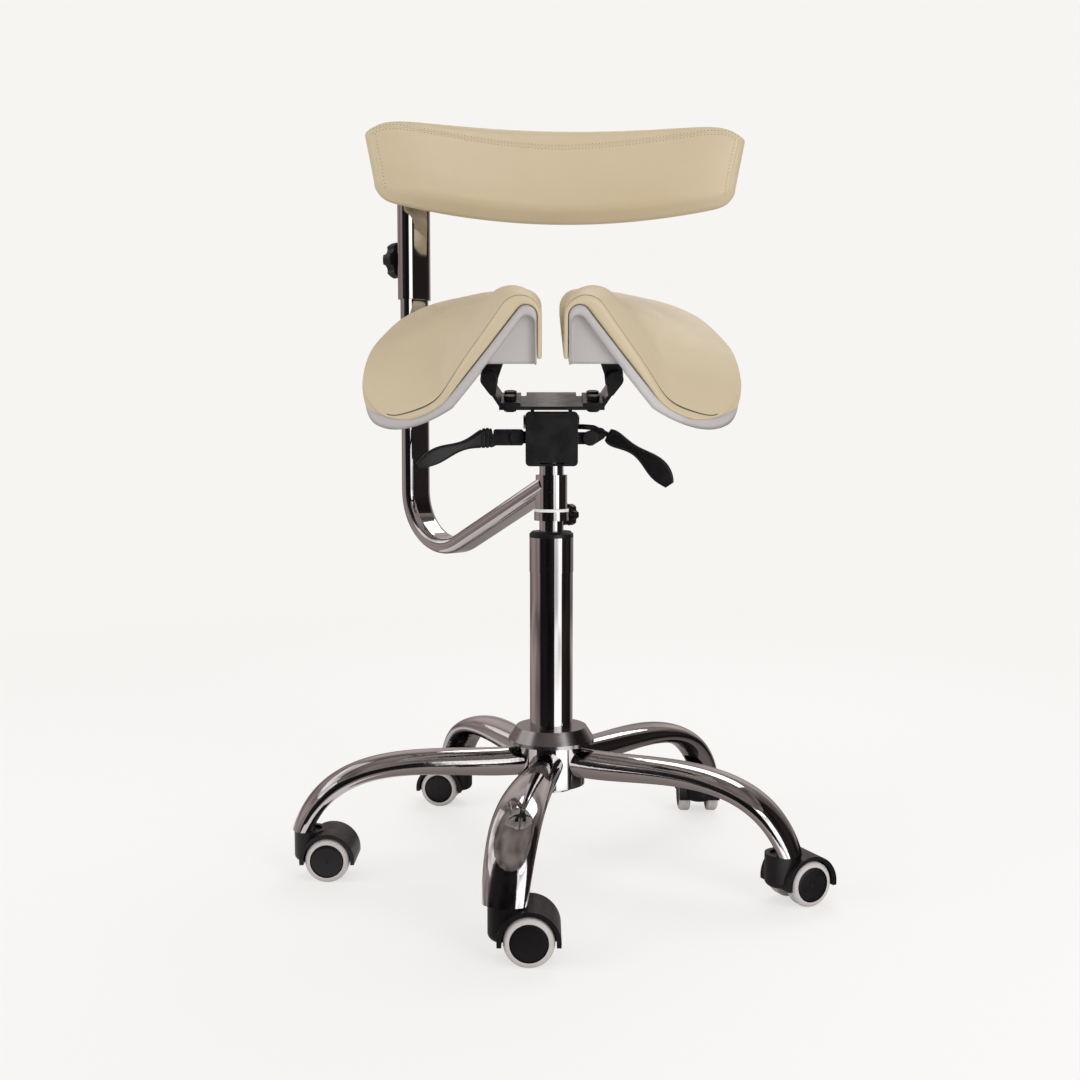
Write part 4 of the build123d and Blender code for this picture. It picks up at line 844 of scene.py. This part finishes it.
def make_floor():
    """A floor that takes the stool's shadows and turns into plain white further out."""
    bpy.ops.mesh.primitive_circle_add(vertices=96, radius=FLOOR_RADIUS, fill_type="NGON")
    floor = bpy.context.object
    floor.name = "floor"
    material = bpy.data.materials.new("floor")
    material.use_nodes = True
    tree = material.node_tree
    tree.nodes.clear()
    seen = light_paths(tree)
    albedo = tree.nodes.new("ShaderNodeMapRange")
    albedo.inputs["To Min"].default_value = FLOOR_ALBEDO
    albedo.inputs["To Max"].default_value = FLOOR_SEEN
    tree.links.new(seen, albedo.inputs["Value"])
    diffuse = tree.nodes.new("ShaderNodeBsdfDiffuse")
    tree.links.new(albedo.outputs["Result"], diffuse.inputs["Color"])
    lift = tree.nodes.new("ShaderNodeEmission")
    lift.inputs["Color"].default_value = (*WHITE, 1.0)
    strength = tree.nodes.new("ShaderNodeMath")
    strength.operation = "MULTIPLY"
    strength.inputs[1].default_value = FLOOR_LIFT
    tree.links.new(seen, strength.inputs[0])
    tree.links.new(strength.outputs[0], lift.inputs["Strength"])
    near = tree.nodes.new("ShaderNodeAddShader")
    tree.links.new(diffuse.outputs[0], near.inputs[0])
    tree.links.new(lift.outputs[0], near.inputs[1])
    far = tree.nodes.new("ShaderNodeEmission")
    far.inputs["Color"].default_value = (*WHITE, 1.0)
    place = tree.nodes.new("ShaderNodeTexCoord").outputs["Object"]
    fade = distance_fade(tree, place, FLOOR_FADE_START, FLOOR_FADE_END)
    mix = tree.nodes.new("ShaderNodeMixShader")
    out = tree.nodes.new("ShaderNodeOutputMaterial")
    tree.links.new(fade, mix.inputs["Fac"])
    tree.links.new(near.outputs[0], mix.inputs[1])
    tree.links.new(far.outputs[0], mix.inputs[2])
    tree.links.new(mix.outputs[0], out.inputs["Surface"])
    floor.data.materials.append(material)


def aim(thing, target):
    """Turns a lamp towards a place."""
    thing.rotation_euler = (Vector(target) - thing.location).to_track_quat("-Z", "Y").to_euler()


def softbox(name, azimuth, distance, height, width, tall, power, target=(0, 0, 0.45)):
    """Area lamp; azimuth is counted from the camera's side, to the right."""
    lamp = bpy.data.lights.new(name, "AREA")
    lamp.shape = "RECTANGLE"
    lamp.size, lamp.size_y = width, tall
    lamp.energy = power
    thing = bpy.data.objects.new(name, lamp)
    turn = math.radians(azimuth)
    thing.location = (distance * math.sin(turn), -distance * math.cos(turn), height)
    scene.collection.objects.link(thing)
    aim(thing, target)


def surround_color(tree, place):
    """Colour of the surroundings by azimuth, fading to a painted shade of the floor round the stool's foot."""
    turned = tree.nodes.new("ShaderNodeMapping")
    turned.inputs["Rotation"].default_value = (0.0, 0.0, math.pi / 2)
    tree.links.new(place, turned.inputs["Vector"])
    radial = tree.nodes.new("ShaderNodeTexGradient")
    radial.gradient_type = "RADIAL"
    tree.links.new(turned.outputs["Vector"], radial.inputs["Vector"])
    colors = tree.nodes.new("ShaderNodeValToRGB")
    stops = colors.color_ramp.elements
    for azimuth, color in SURROUND[1:-1]:
        stops.new((azimuth + 180) / 360).color = (*color, 1.0)
    stops[0].color, stops[-1].color = (*SURROUND[0][1], 1.0), (*SURROUND[-1][1], 1.0)
    tree.links.new(radial.outputs["Fac"], colors.inputs["Fac"])
    mix = tree.nodes.new("ShaderNodeMix")
    mix.data_type = "RGBA"
    mix.inputs["A"].default_value = (*NEAR_FLOOR_SHADE, 1.0)
    tree.links.new(distance_fade(tree, place, NEAR_START, NEAR_END), mix.inputs["Factor"])
    tree.links.new(colors.outputs["Color"], mix.inputs["B"])
    return mix.outputs["Result"]


def card(name, first, last, rims, color=None):
    """Studio card that only mirrors see, between two azimuths, through rims of a radius and a height."""
    mesh = bpy.data.meshes.new(name)
    turns = [math.radians(first + (last - first) * i / CARD_STEPS) for i in range(CARD_STEPS + 1)]
    points = [(r * math.sin(t), -r * math.cos(t), z) for t in turns for r, z in rims]
    count = len(rims)
    faces = [
        (count * i + k, count * (i + 1) + k, count * (i + 1) + k + 1, count * i + k + 1)
        for i in range(CARD_STEPS)
        for k in range(count - 1)
    ]
    mesh.from_pydata(points, [], faces)
    screen = bpy.data.objects.new(name, mesh)
    scene.collection.objects.link(screen)
    material = bpy.data.materials.new(name)
    material.use_nodes = True
    tree = material.node_tree
    tree.nodes.clear()
    place = tree.nodes.new("ShaderNodeTexCoord").outputs["Object"]
    glow = tree.nodes.new("ShaderNodeEmission")
    if color is None:
        tree.links.new(surround_color(tree, place), glow.inputs["Color"])
    else:
        glow.inputs["Color"].default_value = (*color, 1.0)
    noise = tree.nodes.new("ShaderNodeTexNoise")
    noise.inputs["Scale"].default_value = CARD_NOISE
    noise.inputs["Detail"].default_value = 1.0
    tree.links.new(place, noise.inputs["Vector"])
    level = tree.nodes.new("ShaderNodeMapRange")
    level.inputs["From Min"].default_value = CARD_NOISE_LOW
    level.inputs["From Max"].default_value = CARD_NOISE_HIGH
    level.inputs["To Min"].default_value = SCREEN_LEVEL * (1 - CARD_SWAY)
    level.inputs["To Max"].default_value = SCREEN_LEVEL * (1 + CARD_SWAY)
    tree.links.new(noise.outputs["Fac"], level.inputs["Value"])
    tree.links.new(level.outputs["Result"], glow.inputs["Strength"])
    out = tree.nodes.new("ShaderNodeOutputMaterial")
    tree.links.new(glow.outputs[0], out.inputs["Surface"])
    mesh.materials.append(material)
    screen.visible_camera = False
    screen.visible_diffuse = False
    screen.visible_shadow = False


def make_camera():
    """The photograph's camera."""
    data = bpy.data.cameras.new("camera")
    data.lens, data.sensor_width = CAMERA_LENS, CAMERA_SENSOR
    camera = bpy.data.objects.new("camera", data)
    camera.location = CAMERA_PLACE
    camera.rotation_euler = (math.radians(90 - CAMERA_DOWN), 0, 0)
    scene.collection.objects.link(camera)
    scene.camera = camera


scene.view_settings.view_transform = "Standard"
make_camera()
make_world()
make_floor()
softbox("key_box", azimuth=36, distance=2.6, height=1.25, width=1.1, tall=2.2, power=30)
softbox("fill_box", azimuth=-70, distance=2.8, height=1.6, width=1.6, tall=1.8, power=23)
softbox("top_box", azimuth=160, distance=1.6, height=2.6, width=1.8, tall=1.8, power=28)
# Rims of the cards: radius and height
ground = [(0.0, CARD_LIFT), (0.5, CARD_LIFT), (SCREEN_RADIUS, CARD_LIFT)]
upper = [(SCREEN_RADIUS - CARD_APART, 1.25), (SCREEN_RADIUS - CARD_APART, SCREEN_TOP)]
near_left = [(0.2, CARD_OVERLAY), (0.62, CARD_OVERLAY)]
overhead = [(0.0, SCREEN_TOP), (SCREEN_RADIUS, SCREEN_TOP)]
card("surround", first=-180, last=180, rims=ground + [(SCREEN_RADIUS, SCREEN_TOP)])
card("upper_left", first=-150, last=-66, rims=upper, color=UPPER_LEFT)
card("left_floor", first=-140, last=-50, rims=near_left, color=LEFT_FLOOR)
card("ceiling", first=-180, last=180, rims=overhead, color=CEILING)

dress_nodes()
dress_wheels()
make_pads()
